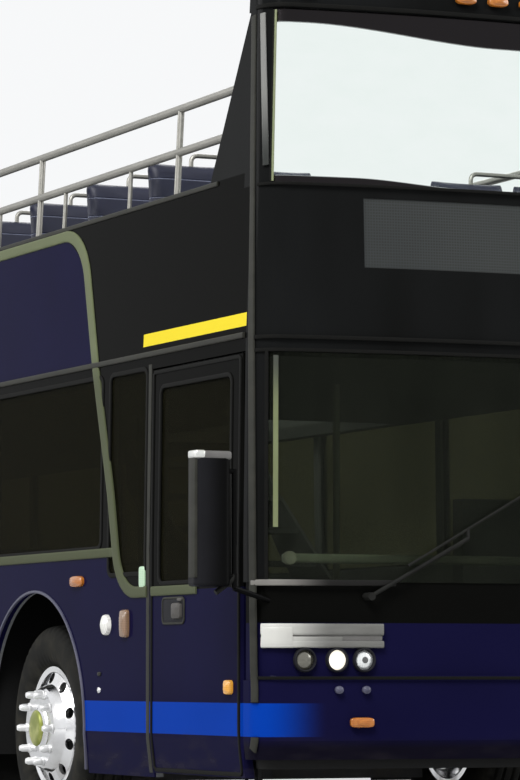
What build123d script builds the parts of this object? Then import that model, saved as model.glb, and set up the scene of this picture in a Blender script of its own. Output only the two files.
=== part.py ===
"""Open top double decker bus with three axles, in millimetres.

The bus faces -Y, its door side is at -X, +Z is up, and the origin is on the ground
under the middle of the body. Walls follow one cross section of half widths by height,
and the bowed ends follow one plan outline whose nose leans back with height.
"""

import os
from math import asin, cos, degrees, radians, sin, sqrt

from build123d import *

os.makedirs("parts", exist_ok=True)

right, left = -1, 1
front_end, rear_end = -1, 1

# Overall
length = 13100
half_width = 1295
wall = 45
nose_y = -length / 2
lid_stand = 14
tail_y = length / 2 - lid_stand

# Heights of the joints between panels
skirt_z = 300
bumper_z = 400
bumper_top_z = 735
mask_z = 755
sill_z = 1150
waist_z = 1345
glass_top_z = 2145
deck_z = 2190
front_deck_z = 2130
belt_z = 2915
screen_z = 2850
screen_top_z = 3620
top_z = 3950

# Half width of the body's cross section at each height: height, how far it is drawn in
tuck_z = 480
tumble_z = 1320
section_rows = (
    (skirt_z, 22),
    (tuck_z, 0),
    (tumble_z, 0),
    (deck_z, 11),
    (belt_z, 43),
    (top_z, 95),
)

# Lean of the front end at its middle: height, how far it is set back
nose_rows = (
    (bumper_z, 40),
    (tuck_z, 0),
    (bumper_top_z, 0),
    (mask_z, 8),
    (sill_z, 18),
    (front_deck_z, 40),
    (screen_z, 65),
    (screen_top_z, 117),
    (top_z, 150),
)
# Lean of the rear end: height, how far it is set back
tail_rows = (
    (bumper_z, 40),
    (tuck_z, 0),
    (sill_z, 0),
    (deck_z, 40),
    (belt_z, 90),
)
bow_radius = 6500
corner_radius = 130
corner_centre_x = half_width - corner_radius
corner_depth = round(bow_radius - sqrt((bow_radius - corner_radius) ** 2 - corner_centre_x**2))
front_joint_y = nose_y + corner_depth + 73
floor_fit = 3
frame_joint_y = nose_y + corner_depth + 153
rear_joint_y = tail_y - corner_depth - 113

# Axles and wheels
hub_z = 500
front_axle_y = nose_y + 2760
wheelbase = 6050
tag_spacing = 1400
drive_axle_y = front_axle_y + wheelbase
tag_axle_y = drive_axle_y + tag_spacing
tyre_width = 290
tyre_inset = 70
wheel_x = half_width - tyre_inset - tyre_width / 2
twin_spacing = 330
arch_radius = 660
rear_arch_radius = 640

# Floors
floor_z = 360
floor_thick = 60
rear_floor_z = 1170
upper_floor_thick = 65
upper_floor_z = deck_z - 15
bulkhead_y = drive_axle_y - 760

# Passenger door
door_front_y = front_joint_y + 25
door_width = 985
door_rear_y = door_front_y + door_width
door_z = 320
door_top_z = 2130
door_gap = 8
door_hinge_inset = 37
door_axis = (-half_width + door_hinge_inset, door_front_y + wall / 2)
door_swing_radius = 46
door_clear_x = half_width - door_hinge_inset - door_swing_radius
door_pin_radius = 8
pin_fit = 0.05

# Stairs
stair_front_y = -2850
stair_steps = 8
tread_depth = 235
stair_inner_x = 360
stair_outer_x = 1150
stair_rear_y = stair_front_y + stair_steps * tread_depth


def row_value(rows, z):
    """Value at height z of rows of (height, value), straight between the rows."""
    if z <= rows[0][0]:
        return rows[0][1]
    for (low, first), (high, last) in zip(rows, rows[1:]):
        if z <= high:
            return first + (last - first) * (z - low) / (high - low)
    return rows[-1][1]


def half_at(z):
    """Outer half width of the body at height z."""
    return half_width - row_value(section_rows, z)


def band_levels(low, high):
    """The heights between low and high where the cross section bends, with both ends."""
    return [low] + [z for z, _ in section_rows if low < z < high] + [high]


def wall_section(side, low, high, inset, thick, back):
    """Cross section of one side wall from low to high, as a sketch on the plane y = back."""
    levels = band_levels(low, high)
    outer = [(side * (half_at(z) - inset), z) for z in levels]
    inner = [(side * (half_at(z) - inset - thick), z) for z in reversed(levels)]
    with BuildSketch(Plane.XZ.offset(-back)) as profile:
        Polygon(*outer, *inner, align=None)
    return profile.sketch


def deck_section(low, high, inset, back):
    """Cross section of a floor that reaches both walls, as a sketch on the plane y = back."""
    levels = band_levels(low, high)
    one = [(-half_at(z) + inset, z) for z in levels]
    other = [(half_at(z) - inset, z) for z in reversed(levels)]
    with BuildSketch(Plane.XZ.offset(-back)) as profile:
        Polygon(*one, *other, align=None)
    return profile.sketch


def side_rectangle(x, front, back, low, high, radius=0):
    """Rectangle in the plane at x, from front to back along Y and low to high in height."""
    with BuildSketch(Plane.YZ.offset(x)) as opening:
        with Locations(((front + back) / 2, (low + high) / 2)):
            if radius:
                RectangleRounded(back - front, high - low, radius)
            else:
                Rectangle(back - front, high - low)
    return opening.sketch


def block(x_range, y_range, z_range):
    """Box between two values along each axis."""
    lows = [min(pair) for pair in (x_range, y_range, z_range)]
    sizes = [abs(pair[1] - pair[0]) for pair in (x_range, y_range, z_range)]
    with BuildPart(Plane.XY.offset(lows[2])) as solid:
        with Locations((lows[0], lows[1])):
            Box(*sizes, align=(Align.MIN, Align.MIN, Align.MIN))
    return solid.part


def rod(start, end, radius):
    """Round bar between two points."""
    axis = Vector(*end) - Vector(*start)
    with BuildPart(Plane(origin=start, z_dir=axis)) as bar:
        Cylinder(radius, axis.length, align=(Align.CENTER, Align.CENTER, Align.MIN))
    return bar.part


def end_outline(end, z, inset, side_y):
    """Points of one end's plan outline at height z, moved in by inset, from side_y round to side_y.

    The end is an arc of bow_radius and meets the straight sides at rounded corners.
    """
    half = half_at(z) - inset
    bow = bow_radius - inset
    round_off = corner_radius - inset
    rows = nose_rows if end == front_end else tail_rows
    tip = end * (tail_y - row_value(rows, z) - inset)
    # The corner's centre, and where it meets the bow, as x and the depth behind the tip
    centre_x = half - round_off
    centre_depth = bow - sqrt((bow - round_off) ** 2 - centre_x**2)
    stretch = bow / (bow - round_off)
    meet_x = centre_x * stretch
    meet_depth = bow + (centre_depth - bow) * stretch
    outward = Vector(1 + (meet_x - centre_x) / round_off, (meet_depth - centre_depth) / round_off)
    middle = Vector(centre_x, centre_depth) + outward.normalized() * round_off
    corner_y, meet_y, middle_y = (tip - end * depth for depth in (centre_depth, meet_depth, middle.Y))
    with BuildLine(Plane.XY.offset(z)) as outline:
        Line((half, side_y), (half, corner_y))
        ThreePointArc((half, corner_y), (middle.X, middle_y), (meet_x, meet_y))
        ThreePointArc((meet_x, meet_y), (0, tip), (-meet_x, meet_y))
        ThreePointArc((-meet_x, meet_y), (-middle.X, middle_y), (-half, corner_y))
        Line((-half, corner_y), (-half, side_y))
    return outline.line


def end_section(end, z, inset, inner_y):
    """Closed plan section of one end of the body at height z, moved in by inset, back to inner_y."""
    half = half_at(z) - inset
    with BuildSketch(Plane.XY.offset(z)) as plan:
        with BuildLine():
            add(Plane.XY.offset(z).to_local_coords(end_outline(end, z, inset, inner_y)))
            Line((-half, inner_y), (half, inner_y))
        make_face()
    return plan.sketch


def end_levels(end, low, high):
    """The heights between low and high where the end's lean or the cross section bends, with both ends."""
    rows = nose_rows if end == front_end else tail_rows
    bends = {z for z, _ in rows + section_rows if low < z < high}
    return [low, *sorted(bends), high]


def end_plate(end, low, high, inset, inner_y):
    """Solid plate that fills one end of the body between two heights, back to inner_y."""
    with BuildPart() as plate:
        loft([end_section(end, z, inset, inner_y).face() for z in end_levels(end, low, high)], ruled=True)
    return plate.part


def end_shell(end, low, high, inset, thick, inner_y):
    """Wall of one end of the body between two heights, open at inner_y."""
    past = inner_y - end * 5
    with BuildPart() as shell:
        add(end_plate(end, low, high, inset, inner_y))
        add(end_plate(end, low, high, inset + thick, past), mode=Mode.SUBTRACT)
    return shell.part


def save(name, piece):
    """Name the piece and write its file."""
    piece.part.label = name
    export_step(piece.part, f"parts/{name}.step")


# How far cutting shapes start outside a surface, pass an edge and reach in
cut_out = 20
cut_past = 5
cut_depth = 4 * wall
nose_span = (nose_y - 50, nose_y + 400)
tail_span = (tail_y - 300, tail_y + 50)

# Louvred grilles of the radiator and the engine lid, set in the wall's thickness
grille_low_z = 640
grille_slats = 10
slat_pitch = 40
slat_rise = 28
slat_lift = 3
slat_thick = 6
slat_inset = 5
slat_depth = 30
grille_high_z = grille_low_z + grille_slats * slat_pitch
slat_seat = 10
radiator_y = (tag_axle_y + rear_arch_radius + rear_joint_y) / 2
radiator_width = (rear_joint_y - tag_axle_y - rear_arch_radius) / 2


def slat_rows(plane, face):
    """Section of all slats on a plane whose first axis runs outwards to the wall's face.

    Each slat's outer edge is its lower one, so that rain runs off outwards.
    """
    outer = face - slat_inset
    inner = outer - slat_depth
    with BuildSketch(plane) as rows:
        for slat in range(grille_slats):
            base = grille_low_z + slat_lift + slat * slat_pitch
            top = base + slat_rise
            corners = ((outer, base), (outer, base + slat_thick), (inner, top + slat_thick), (inner, top))
            Polygon(*corners, align=None)
    return rows.sketch


# Lower side walls with wheel arches, windows, the doorway and the radiator's grille
pane_pitch = 1500
pane_count = 6
mullion = 60
pane_corner = 40
quarter_width = 440
quarter_post = 90
quarter_front_y = door_rear_y + mullion
quarter_rear_y = quarter_front_y + quarter_width
pane_front_y = quarter_rear_y + quarter_post
quarter_z = 1215
cab_window_front_y = front_joint_y + 90
cab_window_z = 1165
rear_arch_top_z = hub_z + rear_arch_radius

# Window openings of each side: side, front, back, base
window_rows = [(right, quarter_front_y, quarter_rear_y, quarter_z)]
window_rows.append((left, quarter_front_y, quarter_rear_y, quarter_z))
window_rows.append((left, cab_window_front_y, quarter_front_y - mullion, cab_window_z))
for side in (right, left):
    for pane in range(pane_count):
        start = pane_front_y + pane * pane_pitch
        window_rows.append((side, start, start + pane_pitch - mullion, waist_z))

for side, name in ((right, "side_wall_right"), (left, "side_wall_left")):
    with BuildPart() as side_wall:
        extrude(
            wall_section(side, skirt_z, deck_z, 0, wall, rear_joint_y),
            amount=rear_joint_y - front_joint_y,
        )
        cut_x = side * (half_width + cut_out)
        for row_side, start, end, base in window_rows:
            if row_side == side:
                opening = side_rectangle(cut_x, start, end, base, glass_top_z, pane_corner)
                extrude(opening, amount=-side * cut_depth, mode=Mode.SUBTRACT)
        with BuildSketch(Plane.YZ.offset(cut_x)) as arches:
            with Locations((front_axle_y, hub_z)):
                Circle(arch_radius)
                Rectangle(2 * arch_radius, hub_z, align=(Align.CENTER, Align.MAX))
            with Locations((drive_axle_y, hub_z), (tag_axle_y, hub_z)):
                Circle(rear_arch_radius)
                Rectangle(2 * rear_arch_radius, hub_z, align=(Align.CENTER, Align.MAX))
            with Locations(((drive_axle_y + tag_axle_y) / 2, rear_arch_top_z)):
                Rectangle(tag_spacing, rear_arch_top_z, align=(Align.CENTER, Align.MAX))
        extrude(arches.sketch, amount=-side * cut_depth, mode=Mode.SUBTRACT)
        if side == right:
            doorway = side_rectangle(cut_x, front_joint_y - cut_past, door_rear_y, 0, door_top_z + door_gap)
            extrude(doorway, amount=-side * cut_depth, mode=Mode.SUBTRACT)
            add(rod((*door_axis, door_top_z - 40), (*door_axis, door_top_z + 20), door_pin_radius))
        else:
            grille_front = radiator_y - radiator_width / 2
            grille_rear = radiator_y + radiator_width / 2
            grille_hole = side_rectangle(cut_x, grille_front, grille_rear, grille_low_z, grille_high_z)
            extrude(grille_hole, amount=-cut_depth, mode=Mode.SUBTRACT)
            extrude(
                slat_rows(Plane.XZ.offset(-grille_rear - slat_seat), half_width),
                amount=radiator_width + 2 * slat_seat,
            )
    save(name, side_wall)

# Side window glass, one node of separate panes
glass_inset = 6
glass_thick = 8
with BuildPart() as side_glass:
    for side in (right, left):
        with BuildPart(mode=Mode.PRIVATE) as panes:
            cut_x = side * (half_width + cut_out)
            for row_side, start, end, base in window_rows:
                if row_side == side:
                    opening = side_rectangle(cut_x, start, end, base, glass_top_z, pane_corner)
                    extrude(opening, amount=-side * cut_depth)
            extrude(
                wall_section(side, sill_z, deck_z, glass_inset, glass_thick, rear_joint_y),
                amount=rear_joint_y - front_joint_y,
                mode=Mode.INTERSECT,
            )
        add(panes.part)
save("side_glass", side_glass)

# Upper side panels
for side, name in ((right, "upper_panel_right"), (left, "upper_panel_left")):
    with BuildPart() as upper_panel:
        extrude(
            wall_section(side, deck_z, belt_z, 0, wall, rear_joint_y),
            amount=rear_joint_y - front_joint_y,
        )
        corner_cut = block(
            (-half_width, half_width),
            (front_joint_y - cut_past, frame_joint_y),
            (screen_z, belt_z + cut_past),
        )
        add(corner_cut, mode=Mode.SUBTRACT)
    save(name, upper_panel)

# Lower floor with the boxes over the front wheels, open below and at the arch,
# and the bracket under the door that holds its lower hinge pin
pivot_half = 20
pivot_thick = 16
pin_depth = 40
box_inner_x = 560
box_half_length = 690
box_top_z = hub_z + arch_radius + 40
box_wall = 20
floor_top_z = floor_z + floor_thick
with BuildPart() as floor_lower:
    extrude(
        deck_section(floor_z, floor_top_z, wall, bulkhead_y),
        amount=bulkhead_y - front_joint_y,
    )
    add(end_plate(front_end, floor_z, floor_top_z, wall + floor_fit, front_joint_y))
    for side in (right, left):
        with BuildPart(mode=Mode.PRIVATE) as wheel_box:
            add(
                block(
                    (side * (box_inner_x - box_wall), side * (half_width + 10)),
                    (front_axle_y - box_half_length - box_wall, front_axle_y + box_half_length + box_wall),
                    (floor_z, box_top_z),
                )
            )
            extrude(
                deck_section(floor_z, box_top_z, wall, front_axle_y + 2 * box_half_length),
                amount=4 * box_half_length,
                mode=Mode.INTERSECT,
            )
        add(wheel_box.part)
        well = block(
            (side * box_inner_x, side * (half_width + cut_out)),
            (front_axle_y - box_half_length, front_axle_y + box_half_length),
            (floor_z - 10, box_top_z - box_wall),
        )
        add(well, mode=Mode.SUBTRACT)
    door_recess = block(
        (right * door_clear_x, right * (half_width + cut_out)),
        (front_joint_y, door_rear_y + door_gap),
        (0, door_top_z + door_gap),
    )
    add(door_recess, mode=Mode.SUBTRACT)
    add(
        block(
            (door_axis[0] - pivot_half, -door_clear_x + pivot_half),
            (door_axis[1] - pivot_half, door_axis[1] + pivot_half),
            (door_z - door_gap - pivot_thick, door_z - door_gap),
        )
    )
    add(
        block(
            (-door_clear_x, -door_clear_x + pivot_half),
            (door_axis[1] - pivot_half, door_axis[1] + pivot_half),
            (door_z - door_gap - pivot_thick, floor_z),
        )
    )
    add(rod((*door_axis, door_z - door_gap), (*door_axis, door_z + pin_depth), door_pin_radius))
save("floor_lower", floor_lower)

# Raised rear floor over the rear axles, with the bulkhead in front of them
with BuildPart() as floor_rear:
    extrude(
        deck_section(rear_floor_z, rear_floor_z + floor_thick, wall, rear_joint_y),
        amount=rear_joint_y - bulkhead_y,
    )
    add(end_plate(rear_end, rear_floor_z, rear_floor_z + floor_thick, wall + floor_fit, rear_joint_y))
    extrude(
        deck_section(floor_z, rear_floor_z, wall, bulkhead_y + wall),
        amount=wall,
    )
save("floor_rear", floor_rear)

with BuildPart() as floor_upper:
    low_z = upper_floor_z - upper_floor_thick
    extrude(deck_section(low_z, upper_floor_z, wall, rear_joint_y), amount=rear_joint_y - front_joint_y)
    add(end_plate(front_end, low_z, upper_floor_z, wall + floor_fit, front_joint_y))
    add(end_plate(rear_end, low_z, upper_floor_z, wall + floor_fit, rear_joint_y))
    stair_hole = block(
        (stair_inner_x, stair_outer_x),
        (stair_front_y, stair_rear_y),
        (low_z - 10, upper_floor_z + 10),
    )
    add(stair_hole, mode=Mode.SUBTRACT)
    add(door_recess, mode=Mode.SUBTRACT)
save("floor_upper", floor_upper)

# Front bumper with its lip, and the mask above it
with BuildPart() as bumper:
    add(end_shell(front_end, bumper_z, bumper_top_z, 0, wall, front_joint_y))
save("front_bumper", bumper)

lamp_z = 820
lamp_radius = 42
lamp_xs = (840, 960, 1100)
lamp_depth = 70


def nose_at(x, z):
    """Y of the front surface at x and height z, away from the corners."""
    tip = nose_y + row_value(nose_rows, z)
    return tip + bow_radius - sqrt(bow_radius**2 - x**2)


with BuildPart() as mask:
    add(end_shell(front_end, bumper_top_z, sill_z, 12, wall, front_joint_y))
    with BuildSketch(Plane.XZ.offset(-nose_y - 20 + 400)) as lamp_holes:
        for side in (right, left):
            for lamp_x in lamp_xs:
                with Locations((side * lamp_x, lamp_z)):
                    Circle(lamp_radius)
    extrude(lamp_holes.sketch, amount=-900, mode=Mode.SUBTRACT)
save("front_mask", mask)

# Round lamps, each a short barrel with a domed lens
lens_bulge = 14
lens_sphere = (lamp_radius**2 + lens_bulge**2) / (2 * lens_bulge)
lens_middle = lens_bulge - lens_sphere + sqrt(lens_sphere**2 - (lamp_radius / 2) ** 2)
with BuildPart() as headlamps:
    for side in (right, left):
        for lamp_x in lamp_xs:
            lamp_y = nose_at(lamp_x, lamp_z) + 12
            with BuildPart(mode=Mode.PRIVATE) as lamp:
                with BuildSketch(Plane.YZ.offset(side * lamp_x)) as lamp_profile:
                    with BuildLine():
                        Polyline(
                            (lamp_y - lens_bulge, lamp_z),
                            (lamp_y + lamp_depth, lamp_z),
                            (lamp_y + lamp_depth, lamp_z + lamp_radius),
                            (lamp_y, lamp_z + lamp_radius),
                        )
                        ThreePointArc(
                            (lamp_y, lamp_z + lamp_radius),
                            (lamp_y - lens_middle, lamp_z + lamp_radius / 2),
                            (lamp_y - lens_bulge, lamp_z),
                        )
                    make_face()
                revolve(axis=Axis((side * lamp_x, 0, lamp_z), (0, 1, 0)))
            add(lamp.part)
save("headlamps", headlamps)

# Lower windscreen, its corner posts, and the panel between the decks
post_width = 40


def between_posts(low, high, back):
    """Space between the corner posts from low to high, from in front of the nose to back."""
    with BuildPart() as space:
        extrude(deck_section(low, high, post_width, back), amount=back - nose_y + wall)
    return space.part


with BuildPart() as screen_lower:
    add(end_shell(front_end, sill_z, front_deck_z, glass_inset, glass_thick, front_joint_y))
    add(between_posts(sill_z, front_deck_z, front_joint_y), mode=Mode.INTERSECT)
save("windscreen_lower", screen_lower)

with BuildPart() as posts_lower:
    add(end_shell(front_end, sill_z, front_deck_z, 0, wall, front_joint_y))
    add(
        between_posts(sill_z - cut_past, front_deck_z + cut_past, front_joint_y + cut_past),
        mode=Mode.SUBTRACT,
    )
save("front_posts", posts_lower)

sign_half = 812
sign_low_z = 2498
sign_high_z = 2800
with BuildPart() as deck_panel:
    add(end_shell(front_end, front_deck_z, screen_z, 0, wall, front_joint_y))
    sign_cut = block((-sign_half, sign_half), nose_span, (sign_low_z, sign_high_z))
    add(sign_cut, mode=Mode.SUBTRACT)
save("front_deck_panel", deck_panel)

with BuildPart() as sign_glass:
    add(end_shell(front_end, front_deck_z, screen_z, glass_inset, glass_thick, front_joint_y))
    add(sign_cut, mode=Mode.INTERSECT)
save("sign_window", sign_glass)

# Upper windscreen
with BuildPart() as screen_upper:
    add(end_shell(front_end, screen_z, screen_top_z, glass_inset, glass_thick, frame_joint_y))
    add(between_posts(screen_z, screen_top_z, frame_joint_y), mode=Mode.INTERSECT)
save("windscreen_upper", screen_upper)

# Upper front frame: corner posts, raked wings beside them and the header across the top
wing_foot_y = frame_joint_y + 365
wing_head_y = frame_joint_y + 10


def wing_wedge(side):
    """Wedge in front of the raked rear edge of one wing."""
    with BuildPart() as wedge:
        with BuildSketch(Plane.YZ.offset(side * (half_width + cut_out))) as rake:
            with BuildLine():
                Polyline(
                    (front_joint_y, belt_z),
                    (wing_foot_y, belt_z),
                    (wing_head_y, screen_top_z),
                    (front_joint_y, screen_top_z),
                    close=True,
                )
            make_face()
        extrude(rake.sketch, amount=-side * 6 * wall)
    return wedge.part


header_bevel_z = top_z - 70
header_back_y = frame_joint_y + 30
header_bevel = 60
cap_back_y = header_back_y - 20
with BuildPart() as upper_frame:
    add(end_shell(front_end, screen_z, screen_top_z, 0, wall, frame_joint_y))
    add(
        between_posts(screen_z - cut_past, screen_top_z + cut_past, frame_joint_y + cut_past),
        mode=Mode.SUBTRACT,
    )
    # Header in two lofts. Columns: height, how far it is drawn in, its rear edge
    header_rows = ((screen_top_z, 0, header_back_y), (header_bevel_z, 0, header_back_y))
    loft([end_section(front_end, *row).face() for row in header_rows], ruled=True)
    cap_rows = ((header_bevel_z, 0, header_back_y), (top_z, header_bevel, cap_back_y))
    loft([end_section(front_end, *row).face() for row in cap_rows], ruled=True)
    for side in (right, left):
        with BuildPart(mode=Mode.PRIVATE) as wing:
            extrude(
                wall_section(side, belt_z, screen_top_z, 0, wall, wing_foot_y),
                amount=wing_foot_y - frame_joint_y,
            )
            add(wing_wedge(side), mode=Mode.INTERSECT)
        add(wing.part)
save("upper_front_frame", upper_frame)

# Rear wall, its lid opening, and the engine lid on two hinges outside its upper edge
lid_half = 800
lid_low_z = 560
lid_high_z = sill_z
lid_gap = 8
lid_axis_y = tail_y + 2
lid_axis_z = lid_high_z - lid_gap
lid_pin_radius = 6
knuckle_radius = lid_stand - 2
knuckle_x = 700
knuckle_half = 30
lug_gap = 4
lug_width = 24
lug_foot_y = tail_y - 60


def hinge_arm(middle, half, low, high):
    """Knuckle about the lid's axis with an arm into the panel between two heights."""
    with BuildPart() as arm:
        add(
            rod(
                (middle - half, lid_axis_y, lid_axis_z),
                (middle + half, lid_axis_y, lid_axis_z),
                knuckle_radius,
            )
        )
        add(block((middle - half, middle + half), (lug_foot_y, lid_axis_y), (low, high)))
    return arm.part


with BuildPart() as rear_wall:
    add(end_shell(rear_end, bumper_z, deck_z, 0, wall, rear_joint_y))
    add(
        block((-lid_half, lid_half), tail_span, (lid_low_z, lid_high_z)),
        mode=Mode.SUBTRACT,
    )
    reach = knuckle_half + lug_gap + lug_width
    for side in (right, left):
        for lug in (-1, 1):
            lug_x = side * knuckle_x + lug * (reach - lug_width / 2)
            add(hinge_arm(lug_x, lug_width / 2, lid_axis_z + 5, lid_axis_z + 32))
        add(
            rod(
                (side * knuckle_x - reach, lid_axis_y, lid_axis_z),
                (side * knuckle_x + reach, lid_axis_y, lid_axis_z),
                lid_pin_radius,
            )
        )
save("rear_wall", rear_wall)

with BuildPart() as rear_panel:
    add(end_shell(rear_end, deck_z, belt_z, 0, wall, rear_joint_y))
save("rear_upper_panel", rear_panel)

grille_half = 600
slat_turn = asin((grille_half + slat_seat) / bow_radius)
bow_centre = Vector(0, tail_y - bow_radius, 0)
slat_plane = Plane(
    origin=bow_centre,
    x_dir=(sin(slat_turn), cos(slat_turn), 0),
    z_dir=(cos(slat_turn), -sin(slat_turn), 0),
)
with BuildPart() as engine_lid:
    add(end_shell(rear_end, tuck_z, sill_z, 0, wall, rear_joint_y))
    add(
        block(
            (-lid_half + lid_gap, lid_half - lid_gap),
            tail_span,
            (lid_low_z + lid_gap, lid_high_z - lid_gap),
        ),
        mode=Mode.INTERSECT,
    )
    add(
        block((-grille_half, grille_half), tail_span, (grille_low_z, grille_high_z)),
        mode=Mode.SUBTRACT,
    )
    revolve(
        slat_rows(slat_plane, bow_radius),
        axis=Axis(bow_centre, (0, 0, 1)),
        revolution_arc=2 * degrees(slat_turn),
    )
    add(
        block(
            (-slat_seat, slat_seat),
            (tail_y - slat_inset - slat_depth + slat_lift, tail_y - slat_inset - slat_lift),
            (grille_low_z - slat_seat, grille_high_z + slat_seat),
        )
    )
    for side in (right, left):
        add(hinge_arm(side * knuckle_x, knuckle_half, lid_axis_z - 24, lid_axis_z))
        add(
            rod(
                (side * knuckle_x - knuckle_half - 5, lid_axis_y, lid_axis_z),
                (side * knuckle_x + knuckle_half + 5, lid_axis_y, lid_axis_z),
                lid_pin_radius + pin_fit,
            ),
            mode=Mode.SUBTRACT,
        )
save("engine_lid", engine_lid)

# Passenger door: one leaf with a rounded hinge edge, and its glass
door_glass_z = 1165
door_glass_front = door_front_y + 110
door_glass_rear = door_rear_y - 90
leaf_front_y = door_front_y
leaf_rear_y = door_rear_y - door_gap
with BuildPart() as door_leaf:
    extrude(
        wall_section(right, door_z, door_top_z, 0, wall, leaf_rear_y),
        amount=leaf_rear_y - leaf_front_y,
    )
    door_opening = side_rectangle(
        right * (half_width + cut_out),
        door_glass_front,
        door_glass_rear,
        door_glass_z,
        door_top_z - 80,
        pane_corner,
    )
    extrude(door_opening, amount=cut_depth, mode=Mode.SUBTRACT)
    with BuildSketch() as edge_cut:
        with BuildLine():
            Polyline(
                (-half_width - 5, leaf_front_y - 5),
                (-half_width + 19, leaf_front_y - 5),
                (-half_width - 5, leaf_front_y + 19),
                close=True,
            )
        make_face()
    extrude(edge_cut.sketch, amount=deck_z, mode=Mode.SUBTRACT)
    for bore_z in (door_z, door_top_z - 42):
        bore = rod((*door_axis, bore_z - 2), (*door_axis, bore_z + 44), door_pin_radius + pin_fit)
        add(bore, mode=Mode.SUBTRACT)
save("door_leaf", door_leaf)

with BuildPart() as door_glass:
    extrude(
        wall_section(right, door_z, door_top_z, glass_inset, glass_thick, leaf_rear_y),
        amount=leaf_rear_y - leaf_front_y,
    )
    extrude(door_opening, amount=cut_depth, mode=Mode.INTERSECT)
save("door_glass", door_glass)

# Rails round the open deck, on posts that stand on the panels and lean in with them
rail_radius = 19
rail_top_z = 3310
rail_mid_z = 3110
post_pitch = 1720
post_first_y = nose_y + 240 + 935
post_count = 7
post_radius = 15
# Thin stays between the panel and the lower rail, by their distance behind each post
stay_places = (560, 1380)
stay_radius = 10
rail_inset = wall / 2
rear_post_xs = (-1050, -350, 350, 1050)
for rail_z, name in ((rail_top_z, "rail_top"), (rail_mid_z, "rail_mid")):
    with BuildPart() as rail:
        path = end_outline(rear_end, rail_z, rail_inset, front_joint_y)
        with BuildSketch(Plane(origin=path @ 0, z_dir=path % 0)):
            Circle(rail_radius)
        sweep(path=path)
        for side in (right, left):
            add(wing_wedge(side), mode=Mode.SUBTRACT)
    save(name, rail)
    if rail_z == rail_top_z:
        top_rail = rail.part
    else:
        mid_rail = rail.part

with BuildPart() as posts:
    for side in (right, left):
        for i in range(post_count):
            post_y = post_first_y + i * post_pitch
            foot = (side * (half_at(belt_z) - rail_inset), post_y, belt_z)
            head = (side * (half_at(rail_top_z) - rail_inset), post_y, rail_top_z)
            add(rod(foot, head, post_radius))
            for stay_y in (post_y + place for place in stay_places):
                if stay_y < rear_joint_y:
                    foot = (side * (half_at(belt_z) - rail_inset), stay_y, belt_z)
                    head = (side * (half_at(rail_mid_z) - rail_inset), stay_y, rail_mid_z)
                    add(rod(foot, head, stay_radius))
    for post_x in rear_post_xs:
        post_bow = bow_radius - sqrt(bow_radius**2 - post_x**2)
        post_y = tail_y - row_value(tail_rows, belt_z) - rail_inset - post_bow
        add(rod((post_x, post_y, belt_z), (post_x, post_y, rail_top_z), post_radius))
    add(block((-half_width, half_width), (nose_y, tail_y), (belt_z - 30, belt_z)), mode=Mode.SUBTRACT)
    add(top_rail, mode=Mode.SUBTRACT)
    add(mid_rail, mode=Mode.SUBTRACT)
save("rail_posts", posts)

# Stairs: treads between two cheeks, and the guard round the well
tread_thick = 30
stair_rise = (upper_floor_z - floor_z - floor_thick) / (stair_steps + 1)
cheek = 20
with BuildPart() as stairs:
    for step in range(stair_steps):
        tread_y = stair_front_y + step * tread_depth
        tread_z = floor_z + floor_thick + (step + 1) * stair_rise
        add(
            block(
                (stair_inner_x + cheek, stair_outer_x - cheek),
                (tread_y, tread_y + tread_depth),
                (tread_z - tread_thick, tread_z),
            )
        )
    for cheek_x in (stair_inner_x, stair_outer_x - cheek):
        with BuildSketch(Plane.YZ.offset(cheek_x)) as stringer:
            with BuildLine():
                foot_z = floor_z + floor_thick
                head_z = upper_floor_z - upper_floor_thick
                Polyline(
                    (stair_front_y, foot_z),
                    (stair_front_y + 260, foot_z),
                    (stair_rear_y, head_z - 260),
                    (stair_rear_y, head_z),
                    (stair_front_y, foot_z + 300),
                    close=True,
                )
            make_face()
        extrude(stringer.sketch, amount=cheek)
save("stairs", stairs)

guard_top_z = upper_floor_z + 950
with BuildPart() as stair_guard:
    guard_x = stair_inner_x - 30
    guard_y = stair_front_y - 30
    for post_y in (guard_y, (guard_y + stair_rear_y) / 2, stair_rear_y):
        add(rod((guard_x, post_y, upper_floor_z), (guard_x, post_y, guard_top_z), post_radius))
    add(rod((stair_outer_x, guard_y, upper_floor_z), (stair_outer_x, guard_y, guard_top_z), post_radius))
    for guard_z in (guard_top_z, upper_floor_z + 500):
        add(rod((guard_x, guard_y, guard_z), (guard_x, stair_rear_y, guard_z), post_radius))
        add(rod((guard_x, guard_y, guard_z), (stair_outer_x, guard_y, guard_z), post_radius))
save("stair_guard", stair_guard)

# Seats: rows of double seats. Columns: side, first row y, rows, floor height
seat_pitch = 760
seat_width = 900
seat_depth = 430
seat_centre_x = 740
cushion_thick = 70
cushion_z = 430
back_height = 560
back_thick = 55
seat_gap = 0.3
seat_rows = (
    (right, nose_y + 1150, 15, upper_floor_z),
    (left, nose_y + 1150, 3, upper_floor_z),
    (left, stair_rear_y + 250, 8, upper_floor_z),
)
seat_rows += (
    (right, -2550, 5, floor_z + floor_thick),
    (left, stair_rear_y + 330, 2, floor_z + floor_thick),
)


def seat_places(rows):
    """Side, y of the cushion's front and floor height of each double seat."""
    return [(side, first + i * seat_pitch, floor) for side, first, count, floor in rows for i in range(count)]


with BuildPart() as cushions:
    for side, y, floor in seat_places(seat_rows):
        add(
            block(
                (side * seat_centre_x - seat_width / 2, side * seat_centre_x + seat_width / 2),
                (y, y + seat_depth),
                (floor + cushion_z - cushion_thick, floor + cushion_z),
            )
        )
save("seat_cushions", cushions)

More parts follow.
